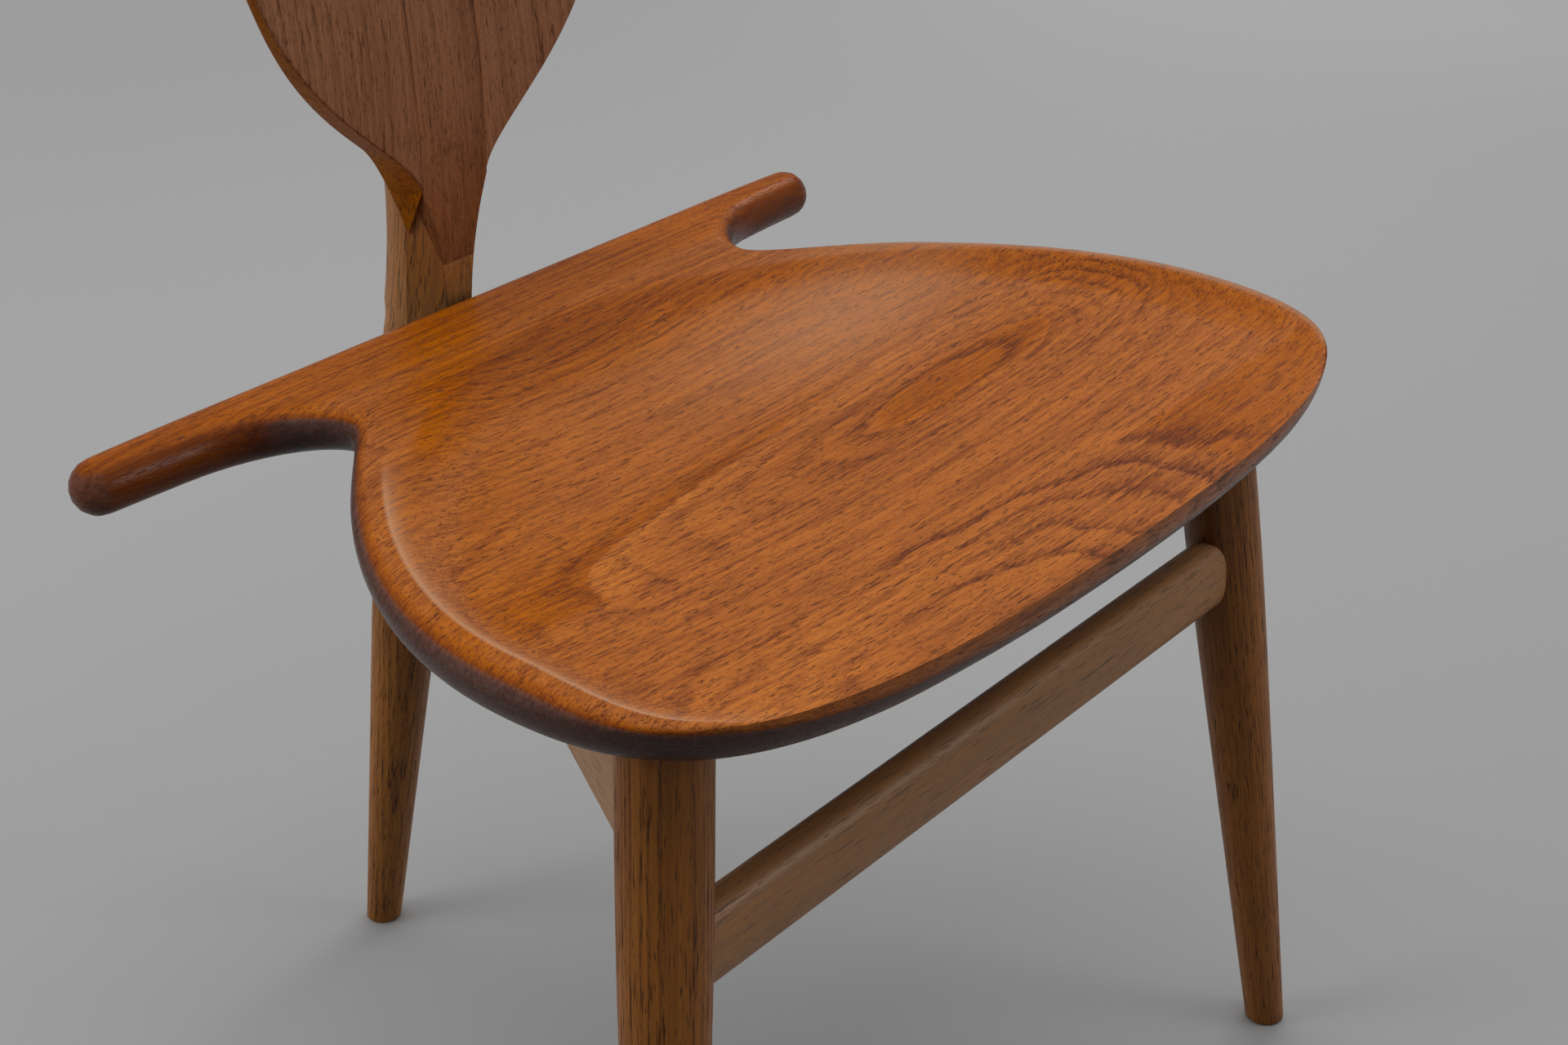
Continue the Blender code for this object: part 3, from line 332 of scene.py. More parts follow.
rail = make_piece("rounded_front_rail", *ring_skin(rail_rings()))
lay_grain(rail, (-0.3, -0.19, FRONT_RAIL_Z - 0.4), (1, 0, 0.01), (0, 0, 1),
          lambda a, c, t: (0.75 * t + 0.25 * c + 14.0 * (c - 0.405) ** 2 + 0.012 * a) / 0.0028,
          tone=0.5, lines=0.6, wear_and_painted_light=0.35)
settle(rail, "frame", "oak", oak, "front_rail")

# Rear leg
# One oak leg, turned below and shaped with flat facets above the seat, where it becomes the post.
# A long slanting scarf at its top is glued and dowelled to the centre board of the back.
REAR_FOOT_Y, REAR_SPLAY, REAR_TURNING = 0.25365, 0.19, (0.0107, 0.022, 0.316)
SIDE_RAIL_TOP = 0.423
FACET_Z, APEX_Z, SCARF_Z, SCARF_SLOPE, SCARF_GAP = 0.440, 0.511, 0.469, 5.0, FIT * 2
NECK_W, NECK_FACE_W, NECK_FLARE = 0.022, 0.009, 2.4
NECK_DEPTH, NECK_SHOULDER, NECK_Y = 0.0445, 0.016, 0.14215
NECK_CURVE, NECK_REAR_CURVE, BACK_T, NECK_THIN_RUN = 0.8, 1.75, 0.024, 0.125
BACK_UPRIGHT, BACK_BEND_RUN, BACK_LEAN = 0.024, 0.125, 0.19


def blend(t):
    """Smooth step from 0 to 1."""
    t = np.clip(t, 0.0, 1.0)
    return t * t * (3.0 - 2.0 * t)


def neck_front(z):
    """Front of the post and back at height z: runs back below, upright at the neck, bends into a straight lean."""
    above = z - APEX_Z - BACK_UPRIGHT
    bent = np.clip(above, 0.0, BACK_BEND_RUN)
    straight = np.maximum(above - BACK_BEND_RUN, 0.0)
    below = np.maximum(APEX_Z - z, 0.0)
    return NECK_Y + BACK_LEAN * (bent ** 2 / (2 * BACK_BEND_RUN) + straight) + NECK_CURVE * below ** 2


def neck_rear(z):
    """Rear of the post at height z: its depth behind the front, thinning upward to the board."""
    below = np.maximum(APEX_Z - z, 0.0)
    thin = blend((z - APEX_Z) / NECK_THIN_RUN)
    return neck_front(z) + NECK_DEPTH + (BACK_T - NECK_DEPTH) * thin + (NECK_REAR_CURVE - NECK_CURVE) * below ** 2


face_share = np.concatenate([np.linspace(0, 1, 7)[:-1], np.ones(35)])
side_share = np.concatenate([np.zeros(6), np.linspace(0, 1, 11)[:-1], np.ones(25)])
rear_turn = np.concatenate([np.zeros(16), np.linspace(0, np.pi / 2, 25)])
whole = np.concatenate([np.arange(41), np.arange(39, 0, -1)])
hand = np.concatenate([np.ones(41), -np.ones(39)])


def neck_section(z, half=NECK_W):
    """Section of the post at heights z: along the front facet and a side facet, then round a half ellipse behind."""
    up = np.clip((z - FACET_Z) / (APEX_Z - FACET_Z), 0.0, 1.0)
    face = np.minimum(NECK_FACE_W + (NECK_W - NECK_FACE_W) * up ** NECK_FLARE, half)
    front, rear = neck_front(z), neck_rear(z)
    x = (face * face_share[whole] + (half - face) * side_share[whole]) * np.cos(rear_turn[whole])
    y = front + NECK_SHOULDER * side_share[whole] + (rear - front - NECK_SHOULDER) * np.sin(rear_turn[whole])
    return hand * x, y


def scarf_height(gap):
    """Height at which each line of the section meets the scarf plane, found by repeated half steps."""
    z = np.full(80, SCARF_Z)
    for _ in range(80):
        z = 0.5 * (z + SCARF_Z + SCARF_SLOPE * (neck_section(z)[1] - neck_front(SCARF_Z)) + gap)
    return z


def rear_leg_rings():
    """Rear leg: circles about the leaning line that turn by a smooth step into the post's section, up to the scarf."""
    start = SIDE_RAIL_TOP + FIT
    z = np.concatenate([FOOT_Z, np.linspace(0.004, start, 60), np.linspace(start, FACET_Z, 10)[1:]])[:, None]
    inset = np.zeros_like(z)
    inset[:3, 0] = FOOT_INSET
    to_x, to_y = neck_section(np.full(80, FACET_Z))
    turn = np.arctan2(to_y - neck_front(FACET_Z) - NECK_W, to_x)
    radius = leg_radius(z, REAR_TURNING) - inset
    x, y = radius * np.cos(turn), REAR_FOOT_Y - REAR_SPLAY * z + radius * np.sin(turn)
    share = blend((z - start) / (FACET_Z - start))
    lower = np.stack([x + (to_x - x) * share, y + (to_y - y) * share, z + 0 * x], -1)
    z = FACET_Z + np.linspace(0, 1, 22)[1:, None] * (scarf_height(-SCARF_GAP) - FACET_Z)
    x, y = neck_section(z)
    return np.concatenate([lower, np.stack([x, y, z], -1)])


leg = make_piece("faceted_rear_leg", *ring_skin(rear_leg_rings()), sharp=24.0)
# The leg is painted lighter all over, standing in for light on it in the shade of the seat, and it is paler and greyer
# from just below the seat up into the post.
lay_grain(leg, (0.0, REAR_FOOT_Y, -0.2), (0, -REAR_SPLAY, 1.0), (1, 0, 0),
          lambda a, c, t: (0.8 * t + 0.55 * c + 8.0 * (c + 0.01) ** 2 + 0.004 * a) / 0.0025, tone=0.5,
          wear_and_painted_light=0.12 * blend((points_of(leg)[:, 2] - 0.40) / 0.03))
settle(leg, "frame", "oak", oak, "rear_leg")

# Side rails
# Two upright oak boards right under the seat, from the front legs back to the rear leg.
# They are dowelled to the legs, and their inner faces are the sides of the box.
SIDE_RAIL_H, SIDE_RAIL_T, SIDE_RAIL_EDGE = 0.071, 0.022, 0.0025
SIDE_RAIL_Z = SIDE_RAIL_TOP - SIDE_RAIL_H / 2
side_start = np.array([*front_leg_at(SIDE_RAIL_Z), SIDE_RAIL_Z])
side_along = np.array([0.0, REAR_FOOT_Y - REAR_SPLAY * SIDE_RAIL_Z, SIDE_RAIL_Z]) - side_start
side_along /= np.linalg.norm(side_along)
side_out = np.array([side_along[1], -side_along[0], 0.0])


def side_rail_rings(side):
    """Side rail: a rectangle with rounded corners carried along its line, each end moved to meet the round leg."""
    quarter = np.repeat(np.arange(4), 8)
    turn = np.pi / 2 * (quarter + np.tile(np.linspace(0, 1, 8), 4))
    out = np.array([1, -1, -1, 1])[quarter] * (SIDE_RAIL_T / 2 - SIDE_RAIL_EDGE) + SIDE_RAIL_EDGE * np.cos(turn)
    up = np.array([1, 1, -1, -1])[quarter] * (SIDE_RAIL_H / 2 - SIDE_RAIL_EDGE) + SIDE_RAIL_EDGE * np.sin(turn)
    base = side_start + out[:, None] * side_out + up[:, None] * np.array([0, 0, 1.0])
    z = base[:, 2]

    def reach(middle, radius, way):
        """Run along the line to the circle of a leg: the root of a quadratic."""
        gap = base[:, :2] - middle
        lean = gap @ side_along[:2]
        return -lean + way * np.sqrt(np.maximum(lean ** 2 - (gap ** 2).sum(1) + radius ** 2, 0.0))

    first = reach(np.stack(front_leg_at(z), -1), leg_radius(z, FRONT_TURNING), 1) - SHOULDER_BITE
    rear = np.stack([0 * z, REAR_FOOT_Y - REAR_SPLAY * z], -1)
    last = reach(rear, leg_radius(z, REAR_TURNING), -1) + SHOULDER_BITE
    last = np.minimum(last, (base[:, 0] - FIT / 2) / -side_along[0])
    run = first + np.linspace(0, 1, 41)[:, None] * (last - first)
    rings = base + run[:, :, None] * side_along
    rings[:, :, 0] *= side
    return rings


for side, word in ((-1, "left"), (1, "right")):
    rail = make_piece("side_board_" + word, *ring_skin(side_rail_rings(side)))
    mirror = np.array([side, 1, 1])
    # The side boards are painted paler and greyer, partly their own lighter wood and partly painted light standing in
    # for the light from the left on their outer faces.
    lay_grain(rail, (side * 0.21, -0.185, 0.8 + side * 0.1), side_along * mirror, (0, 0, 1),
              lambda a, c, t: (0.9 * t + 0.2 * c + 4.0 * (c + 0.42) ** 2 + 0.012 * a) / 0.003,
              tone=1.0, lines=0.8, wear_and_painted_light=0.48)
    settle(rail, "frame", "oak", oak, "side_rail_" + word)

# Box under the seat
# A shallow three-cornered box between the side rails: an oak front wall and a thin teak floor.
# Both are glued into grooves in the rails.
BOX_FRONT_Y, BOX_WALL_T, BOX_FLOOR_T = -0.139, 0.012, 0.006
BOX_FLOOR_LIFT, BOX_HOUSING, BOX_REAR_GAP, BOX_EASE = 0.008, 0.005, 0.040, 0.0006


def box_board(name, near, far, low, high):
    """Board between the side rails: its plan carried upward, with the long edges eased."""
    reach = (side_start - side_out * SIDE_RAIL_T / 2)[:2]
    half = [reach[0] + side_along[0] / side_along[1] * (y - reach[1]) + BOX_HOUSING for y in (near, far)]
    share = np.concatenate([np.linspace(-1, 1, 25), np.linspace(1, -1, 25)])
    end = np.repeat([0, 1], 25)
    z = np.array([low, low + BOX_EASE, high - BOX_EASE, high])[:, None]
    inset = np.array([BOX_EASE, 0.0, 0.0, BOX_EASE])[:, None]
    y = np.array([near, far])[end] + np.array([1, -1])[end] * inset
    return make_piece(name, *ring_skin(np.stack([share * np.array(half)[end] + 0 * z, y, z + 0 * y], -1)))


box_low = SIDE_RAIL_TOP - SIDE_RAIL_H
wall = box_board("box_front_wall", BOX_FRONT_Y, BOX_FRONT_Y + BOX_WALL_T, box_low + BOX_FLOOR_LIFT / 2, SIDE_RAIL_TOP)
lay_grain(wall, (-0.2, -0.13, 1.4), (1, 0, 0.006), (0, 0, 1),
          lambda a, c, t: (0.6 * t + 0.7 * c + 0.02 * a) / 0.003, tone=0.2)
settle(wall, "frame", "oak", oak, "box_front")
teak_plain = wood("teak_plain", (0.36, 0.135, 0.04), (0.20, 0.065, 0.018), (0.08, 0.026, 0.01), wander=0.8,
                  ring_show=0.5, pore_length=0.010, pore_show=0.55, gloss=0.5)
floor_near = BOX_FRONT_Y + BOX_WALL_T - BOX_HOUSING
floor_far = REAR_FOOT_Y - REAR_SPLAY * SIDE_RAIL_Z - BOX_REAR_GAP
floor_z = box_low + BOX_FLOOR_LIFT
floor = box_board("box_floor_board", floor_near, floor_far, floor_z, floor_z + BOX_FLOOR_T)
lay_grain(floor, (-0.3, 0.5, 0.36), (1, 0, 0), (0, 1, 0), lambda a, c, t: (0.5 * t + 0.9 * c + 0.03 * a) / 0.006)
settle(floor, "frame", "teak", teak_plain, "box_floor")

# Dowels
# Plain turned beech dowels, glued into blind holes in the rail ends, the legs and the scarf.
# None of them shows on the finished chair.


def object_place(finish):
    """Place in the coordinates of the object that has a finish."""
    return add_node(finish, "ShaderNodeTexCoord", {}).outputs["Object"]


def dress(word, finish):
    """Give a finish to every node of the frame whose name holds a word."""
    for name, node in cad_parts.items():
        if word in name:
            node.data.materials.clear()
            node.data.materials.append(finish)


def speckled(name, waves, first, second, rough, relief=0.0):
    """Finish of two colours mixed by noise of so many waves to the metre, which also roughens and raises it."""
    finish, shader = new_finish(name)
    fleck = cloud(finish, object_place(finish), (waves, waves, waves), 4.0)
    feed(finish, shader, Base_Color=mixed(finish, fleck, first, second), Roughness=scaled(finish, fleck, 0.2, rough))
    if relief:
        raised = add_node(finish, "ShaderNodeBump", {"Strength": 0.4, "Distance": relief, "Height": fleck})
        feed(finish, shader, Normal=raised.outputs[0])
    return finish


dress("dowel", speckled("beech_bare", 420.0, (0.58, 0.41, 0.24, 1), (0.42, 0.27, 0.14, 1), 0.5))

# Back
# Three teak boards glued edge to edge and shaped as a coat hanger: a centre board down to the post and two wings.
# The glue lines show on the face as thin dark lines, and the wings thin out toward their edges.
FLARE_START, FLARE_END, ARM_START, ARM_END = (0.053, 0.175), 0.61, 0.73, 0.656
TOP_START, TOP_END = (0.30, 0.18), 0.352
FLANK_X, FLANK_RISE, TIP_X, TIP_RISE, TIP_R, BACK_RISE = 0.117, 0.154, 0.213, 0.3555, 0.016, 0.439
EDGE_T, SHOULDER_EDGE_T, BACK_HOLLOW = 0.008, 0.012, 0.45
WING_THIN, WING_GROW = (0.22, 0.55), (0.757, 0.197)
WING_FALL_TOP, WING_FALL, WING_FALL_RUN = 0.14, 1.6, 0.030
WING_EDGE_RUN, WING_EDGE_DROP, ARM_RUN, TOP_EDGE_RUN, TOP_EDGE_SHARE = 0.0012, 0.0010, 0.2, 0.005, 0.45
GLUE_GAP = FIT * 0.4
WING_INNER = NECK_W + GLUE_GAP


def bezier(points, steps):
    """Points of a cubic curve through its four handles, without the last point."""
    t = (np.arange(steps) / steps)[:, None]
    start, first, second, end = (np.array(p, dtype=float) for p in points)
    return (1 - t) ** 3 * start + 3 * t * (1 - t) ** 2 * first + 3 * t ** 2 * (1 - t) * second + t ** 3 * end


def hanger_outline():
    """Right half of the hanger as x, z: a flare, the underside of the arm, a round tip, then the sloping top."""
    flank_z, tip_z, top_z = APEX_Z + FLANK_RISE, APEX_Z + TIP_RISE, APEX_Z + BACK_RISE
    under_z, over_z, wide = tip_z - TIP_R, tip_z + TIP_R, FLANK_X - NECK_W
    flare = bezier([(NECK_W, APEX_Z), (NECK_W + FLARE_START[0] * wide, APEX_Z + FLARE_START[1] * FLANK_RISE),
                    (FLANK_X, flank_z - FLARE_END * FLANK_RISE), (FLANK_X, flank_z)], 60)
    arm = bezier([(FLANK_X, flank_z), (FLANK_X, flank_z + ARM_START * (under_z - flank_z)),
                  (TIP_X - ARM_END * (TIP_X - FLANK_X), under_z), (TIP_X, under_z)], 70)
    turn = np.radians(np.linspace(-90, 90, 24, endpoint=False))
    tip = np.column_stack([TIP_X + TIP_R * np.cos(turn), tip_z + TIP_R * np.sin(turn)])
    top = bezier([(TIP_X, over_z), (TIP_X * (1 - TOP_START[0]), over_z + TOP_START[1] * (top_z - over_z)),
                  (TIP_X * TOP_END, top_z), (0.0, top_z)], 50)
    return np.vstack([flare, arm, tip, top, [(0.0, top_z)]])


def nearest(outline, x, y):
    """Distance from points to a chain of straight steps, and the place along the chain where it is reached."""
    start, step = outline[:-1], np.diff(outline, axis=0)
    flat_x, flat_y = x.reshape(-1, 1), y.reshape(-1, 1)
    share = ((flat_x - start[:, 0]) * step[:, 0] + (flat_y - start[:, 1]) * step[:, 1]) / (step ** 2).sum(1)
    share = np.clip(share, 0.0, 1.0)
    gap = np.hypot(start[:, 0] + share * step[:, 0] - flat_x, start[:, 1] + share * step[:, 1] - flat_y)
    best = gap.argmin(1)
    rows = np.arange(len(best))
    return gap[rows, best].reshape(x.shape), (best + share[rows, best]).reshape(x.shape)


def round_over(distance, run, drop):
    """Drop of an edge that is rounded as a quarter ellipse, by the distance from the edge."""
    return drop * (1.0 - np.sqrt(1.0 - (1.0 - np.clip(distance / run, 0.0, 1.0)) ** 2))


def two_faces(upper, lower):
    """Points and faces of a board from two grids of the same shape, joined by a strip round their borders."""
    rows, columns = upper.shape[:2]
    index = np.arange(rows * columns).reshape(rows, columns)
    quads = np.stack([index[:-1, :-1], index[:-1, 1:], index[1:, 1:], index[1:, :-1]], -1).reshape(-1, 4)
    border = np.concatenate([index[0, :-1], index[:-1, -1], index[-1, :0:-1], index[:0:-1, 0]])
    ahead = np.roll(border, -1)
    other = rows * columns
    strip = np.stack([border, border + other, ahead + other, ahead], -1)
    points = np.vstack([upper.reshape(-1, 3), lower.reshape(-1, 3)])
    return points, np.vstack([quads, quads[:, ::-1] + other, strip]).tolist()


outline = hanger_outline()
flare_x, flare_z = outline[:61, 0], outline[:61, 1]


def wing_grids(side):
    """Wing: rows across from the glue line to the outline.

    The front is hollow as a parabola, the rear thins by the square of the way across, and the edges are rounded over.
    The lower end falls to the rear, so the edge strip runs out to a point on the side of the post."""
    edge = outline[outline[:, 0] > WING_INNER + 0.0004]
    edge = np.vstack([(WING_INNER, np.interp(WING_INNER, flare_x, flare_z)), edge])
    reach_x, z = edge[:, :1], edge[:, 1:]
    share = np.concatenate([[0.0, 0.005, 0.007], np.sin(np.linspace(0, np.pi / 2, 44))[1:-1], [0.9996, 1.0]])
    x = WING_INNER + (reach_x - WING_INNER) * share[None, :]
    z = z + 0 * x
    distance, _ = nearest(outline, x, z)
    thin = blend(((z - APEX_Z) / FLANK_RISE - WING_THIN[0]) / WING_THIN[1])
    grow = blend(((z - APEX_Z) / TIP_RISE - WING_GROW[0]) / WING_GROW[1])
    edge_t = NECK_SHOULDER + (EDGE_T - NECK_SHOULDER) * thin + (SHOULDER_EDGE_T - EDGE_T) * grow
    reach = np.where(z < flare_z[-1], np.interp(z, flare_z, flare_x),
                     FLANK_X + (TIP_X + TIP_R - FLANK_X) * blend((z - flare_z[-1]) / ARM_RUN))
    across = np.clip((x - WING_INNER) / np.maximum(reach - WING_INNER, 1e-4), 0.0, 1.0)
    front = neck_front(z) - BACK_HOLLOW * (x ** 2 - NECK_W ** 2)
    rear = front + NECK_SHOULDER + (edge_t - NECK_SHOULDER) * across ** 2
    drop = round_over(distance, WING_EDGE_RUN, WING_EDGE_DROP)
    low_end = 1.0 - blend((z - APEX_Z) / WING_FALL_RUN)
    fall = (WING_FALL_TOP + (WING_FALL - WING_FALL_TOP) * low_end) * (rear - front)
    return [np.stack([side * x, front + drop, z], -1), np.stack([side * x, rear - 2 * drop, z - fall], -1)]


def wing_tones(piece, faces):
    """Tone and richness of a wing: dark along the glue line, richer on the strip round its lower edge, and painted
    light that makes the strip lighter and golden toward its foot.

    The strip's points are those on the last column of either face's grid."""
    x, y, z = points_of(piece).T
    rim_x, rim_y, rim_z = np.vstack([grid[:, -1] for grid in faces]).T
    gap = np.abs(x[:, None] - rim_x) + np.abs(y[:, None] - rim_y) + np.abs(z[:, None] - rim_z)
    strip = blend((APEX_Z + FLANK_RISE - z) / 0.05) * (gap.min(1) < 0.00002)
    # Painted light: the strip is painted lighter toward the wing's foot.
    lit = 1.0 - blend((z - APEX_Z) / 0.12)
    glue = -1.4 * blend((WING_INNER + 0.0006 - np.abs(x)) / 0.0003) * blend((z - APEX_Z - 0.02) / 0.06)
    return glue + (0.75 * lit - 0.1) * strip, (0.25 * lit - 0.65) * strip


def centre_rings():
    """Centre board: the post's section from the scarf upward, ending at the hanger's top with a rounded edge."""
    half = NECK_W - GLUE_GAP
    low = scarf_height(SCARF_GAP)
    x, _ = neck_section(np.full(80, APEX_Z), half)
    top = np.interp(-np.abs(x), -outline[-51:, 0], outline[-51:, 1])
    rise = np.concatenate([np.linspace(0, 0.96, 100), 0.96 + 0.04 * np.sin(np.linspace(0, np.pi / 2, 12))[1:]])
    z = low + (top - low) * rise[:, None]
    x, y = neck_section(z, half)
    front, rear = neck_front(z), neck_rear(z)
    middle = front + 0.5 * (rear - front) * (1 - 0.25 * (x / NECK_W) ** 2)
    shrink = 1.0 - round_over(top - z, TOP_EDGE_RUN, TOP_EDGE_SHARE)
    return np.stack([x, middle + (y - middle) * shrink, z], -1)


teak_back = wood("teak_back", (0.32, 0.148, 0.074), (0.165, 0.066, 0.031), (0.07, 0.026, 0.012), wander=0.6,
                 ring_show=0.55, streak=0.65, drift=0.4, pore_length=0.009, pore_width=0.0009,
                 pore_share=0.555, pore_show=0.7, gloss=0.46, shine=0.1)
board = make_piece("centre_board", *ring_skin(centre_rings()), sharp=24.0)
lay_grain(board, (0.0, 0.16, 0.0), (0, 0.06, 1), (1, 0, 0),
          lambda a, c, t: (0.35 * c + 0.9 * t + 4.0 * (c - 0.05) ** 2 + 0.01 * a) / 0.004,
          lambda a, c, t: -0.08 - 0.5 * blend((0.56 - a) / 0.09), 0.5)
settle(board, "frame", "teak", teak_back, "back_centre")
for side, word, start, lean, rings, tone, lines in (
        (-1, "left", (-0.07, 0.16, 2.0), 0.05,
         lambda a, c, t: (0.8 * c + 0.6 * t + 0.01 * a) / 0.0042, -0.05, 0.8),
        (1, "right", (0.085, 0.16, -1.4), -0.03,
         lambda a, c, t: (0.9 * t + 6.0 * c ** 2 + 0.035 * a) / 0.0045, -0.02, 0.9)):
    wing_faces = wing_grids(side)
    board = make_piece("wing_board_" + word, *two_faces(*wing_faces), sharp=50.0)
    board_tone, strip_richness = wing_tones(board, wing_faces)
    lay_grain(board, start, (lean, 0.06, 1), (1, 0, 0), rings, board_tone + tone, lines, strip_richness)
    settle(board, "frame", "teak", teak_back, "back_wing_" + word)

# Hinges
# Two small brass butt hinges: one leaf let into the leg top, the other into the underside of the seat, on one pin.
# Six countersunk screws hold each hinge.
brass, brass_shader = new_finish("brass_satin")
brass_place = object_place(brass)
brass_brush = cloud(brass, brass_place, (60.0, 2600.0, 2600.0), 3.0)
brass_dull = cloud(brass, brass_place, (130.0, 130.0, 130.0), 4.0)
brass_mix = mixed(brass, ease(brass, brass_dull, 0.4, 0.75), (0.68, 0.49, 0.2, 1), (0.42, 0.27, 0.09, 1))
brass_rough = scaled(brass, brass_dull, 0.3, scaled(brass, brass_brush, 0.15, 0.12))
brass_raised = add_node(brass, "ShaderNodeBump", {"Strength": 0.25, "Distance": 0.0001, "Height": brass_brush})
brass_shader.inputs["Metallic"].default_value = 1.0
feed(brass, brass_shader, Base_Color=brass_mix, Roughness=brass_rough, Normal=brass_raised.outputs[0])
dress("hinge", brass)

# Seat
# One thick teak seat glued up from boards with the grain across, carved to a dish with a rolled rim.
# Its rear edge runs out into two round horns that carry trousers, and it tips up on the hinges.
SEAT_FRONT_Y, SEAT_WIDE_X, SEAT_WIDE_Y = -0.2682, 0.2635, -0.14515
WAIST_X, WAIST_Y, SEAT_REAR_Y = 0.1425, 0.06985, 0.13935
HORN_R, HORN_REACH, HORN_ROOT_X, HORN_DROP, HORN_DROP_RUN = 0.0134, 0.2545, 0.198, 0.0010, 0.080
FRONT_FULL, CORNER_FULL, SIDE_FULL, WAIST_FULL, ROOT_FULL, HORN_FULL = 0.216, 0.091, 0.118, 0.018, 0.018, 0.026
SEAT_UNDER, RIM_T, FRONT_T, RIM_SIDE_W, RIM_FRONT_W, RIM_REAR_W = 0.427, 0.0308, 0.0245, 0.0165, 0.0015, 0.014
EDGE_FRONT, EDGE_SIDE, UNDERCUT = 0.0012, 0.0090, 0.031
UNDER_SPOTS = (0.0, 0.1, 0.2, 0.3, 0.4, 0.7, 1.0)
UNDER_RUNS = (0.0155, 0.0158, 0.0172, 0.017, 0.019, 0.028, UNDERCUT)
WALL_DEPTH, WALL_RUN, BOWL_DEPTH = 0.0055, 0.016, 0.011
CREST, CREST_END_Y, CREST_RUN = 0.32, 0.035, 0.055
DISH_REAR_Y, DISH_REAR_BEND, DISH_REAR_RUN, BOWL_RUN = 0.083, 2.7, 0.045, 0.16
RISE_REAR_Y, RISE_RUN, FALL_Y = 0.072, 0.080, -0.143
BAR_T = 2 * HORN_R


def seat_half():
    """Right half of the seat as x, y, with the rim's width, the share of the round horn and the undercut's run."""
    horn_y, tip_x = SEAT_REAR_Y - 2 * HORN_R, HORN_REACH - HORN_R
    front = bezier([(0, SEAT_FRONT_Y), (FRONT_FULL, SEAT_FRONT_Y), (SEAT_WIDE_X, SEAT_WIDE_Y - CORNER_FULL),
                    (SEAT_WIDE_X, SEAT_WIDE_Y)], 80)
    flank = bezier([(SEAT_WIDE_X, SEAT_WIDE_Y), (SEAT_WIDE_X, SEAT_WIDE_Y + SIDE_FULL),
                    (WAIST_X, WAIST_Y - WAIST_FULL), (WAIST_X, WAIST_Y)], 64)
    root = bezier([(WAIST_X, WAIST_Y), (WAIST_X, WAIST_Y + ROOT_FULL), (HORN_ROOT_X - HORN_FULL, horn_y - 0.005),
                   (HORN_ROOT_X, horn_y - 0.003)], 40)
    horn = np.column_stack([np.linspace(HORN_ROOT_X, tip_x, 12)[:-1], np.linspace(horn_y - 0.003, horn_y, 12)[:-1]])
    turn = np.radians(np.linspace(-90, 90, 40))
    tip = np.column_stack([tip_x + HORN_R * np.cos(turn), SEAT_REAR_Y - HORN_R + HORN_R * np.sin(turn)])
    rear = np.column_stack([np.linspace(tip_x, 0.0, 30)[1:], np.full(29, SEAT_REAR_Y)])
    t_front, t_flank, t_root = np.arange(80) / 80, np.arange(64) / 64, np.arange(40) / 40
    rim = np.concatenate([RIM_FRONT_W + (RIM_SIDE_W - RIM_FRONT_W) * blend(2 * t_front - 1.0),
                          RIM_SIDE_W + (RIM_REAR_W - RIM_SIDE_W) * t_flank,
                          RIM_REAR_W + (HORN_R - RIM_REAR_W) * t_root, np.full(80, HORN_R)])
    share = np.concatenate([np.zeros(80), 0.2 * blend(4 * t_flank - 3), 0.2 + 0.8 * blend(t_root), np.ones(80)])
    under = np.concatenate([np.interp(t_front, UNDER_SPOTS, UNDER_RUNS), np.full(184, UNDERCUT)])
    return np.column_stack([np.vstack([front, flank, root, horn, tip, rear]), rim, share, under])


seat_edge = seat_half()
edge_step = np.gradient(seat_edge[:, :2], axis=0)
edge_step /= np.linalg.norm(edge_step, axis=1)[:, None]
crease = seat_edge[:, :2] + np.column_stack([-edge_step[:, 1], edge_step[:, 0]]) * seat_edge[:, 2:3]
flank_rows = slice(47, 145)


def along_edge(spot, column):
    """Value of a column of the seat's edge at a place along it."""
    return np.interp(spot, np.arange(len(seat_edge)), seat_edge[:, column])


def rim_plane(y):
    """Height of the rim at y: level with the rear bar behind, higher at the sides, lower at the front."""
    rise = blend((RISE_REAR_Y - y) / RISE_RUN)
    fall = blend((FALL_Y - y) / (FALL_Y - SEAT_FRONT_Y))
    return SEAT_UNDER + BAR_T + (RIM_T - BAR_T) * rise + (FRONT_T - RIM_T) * fall


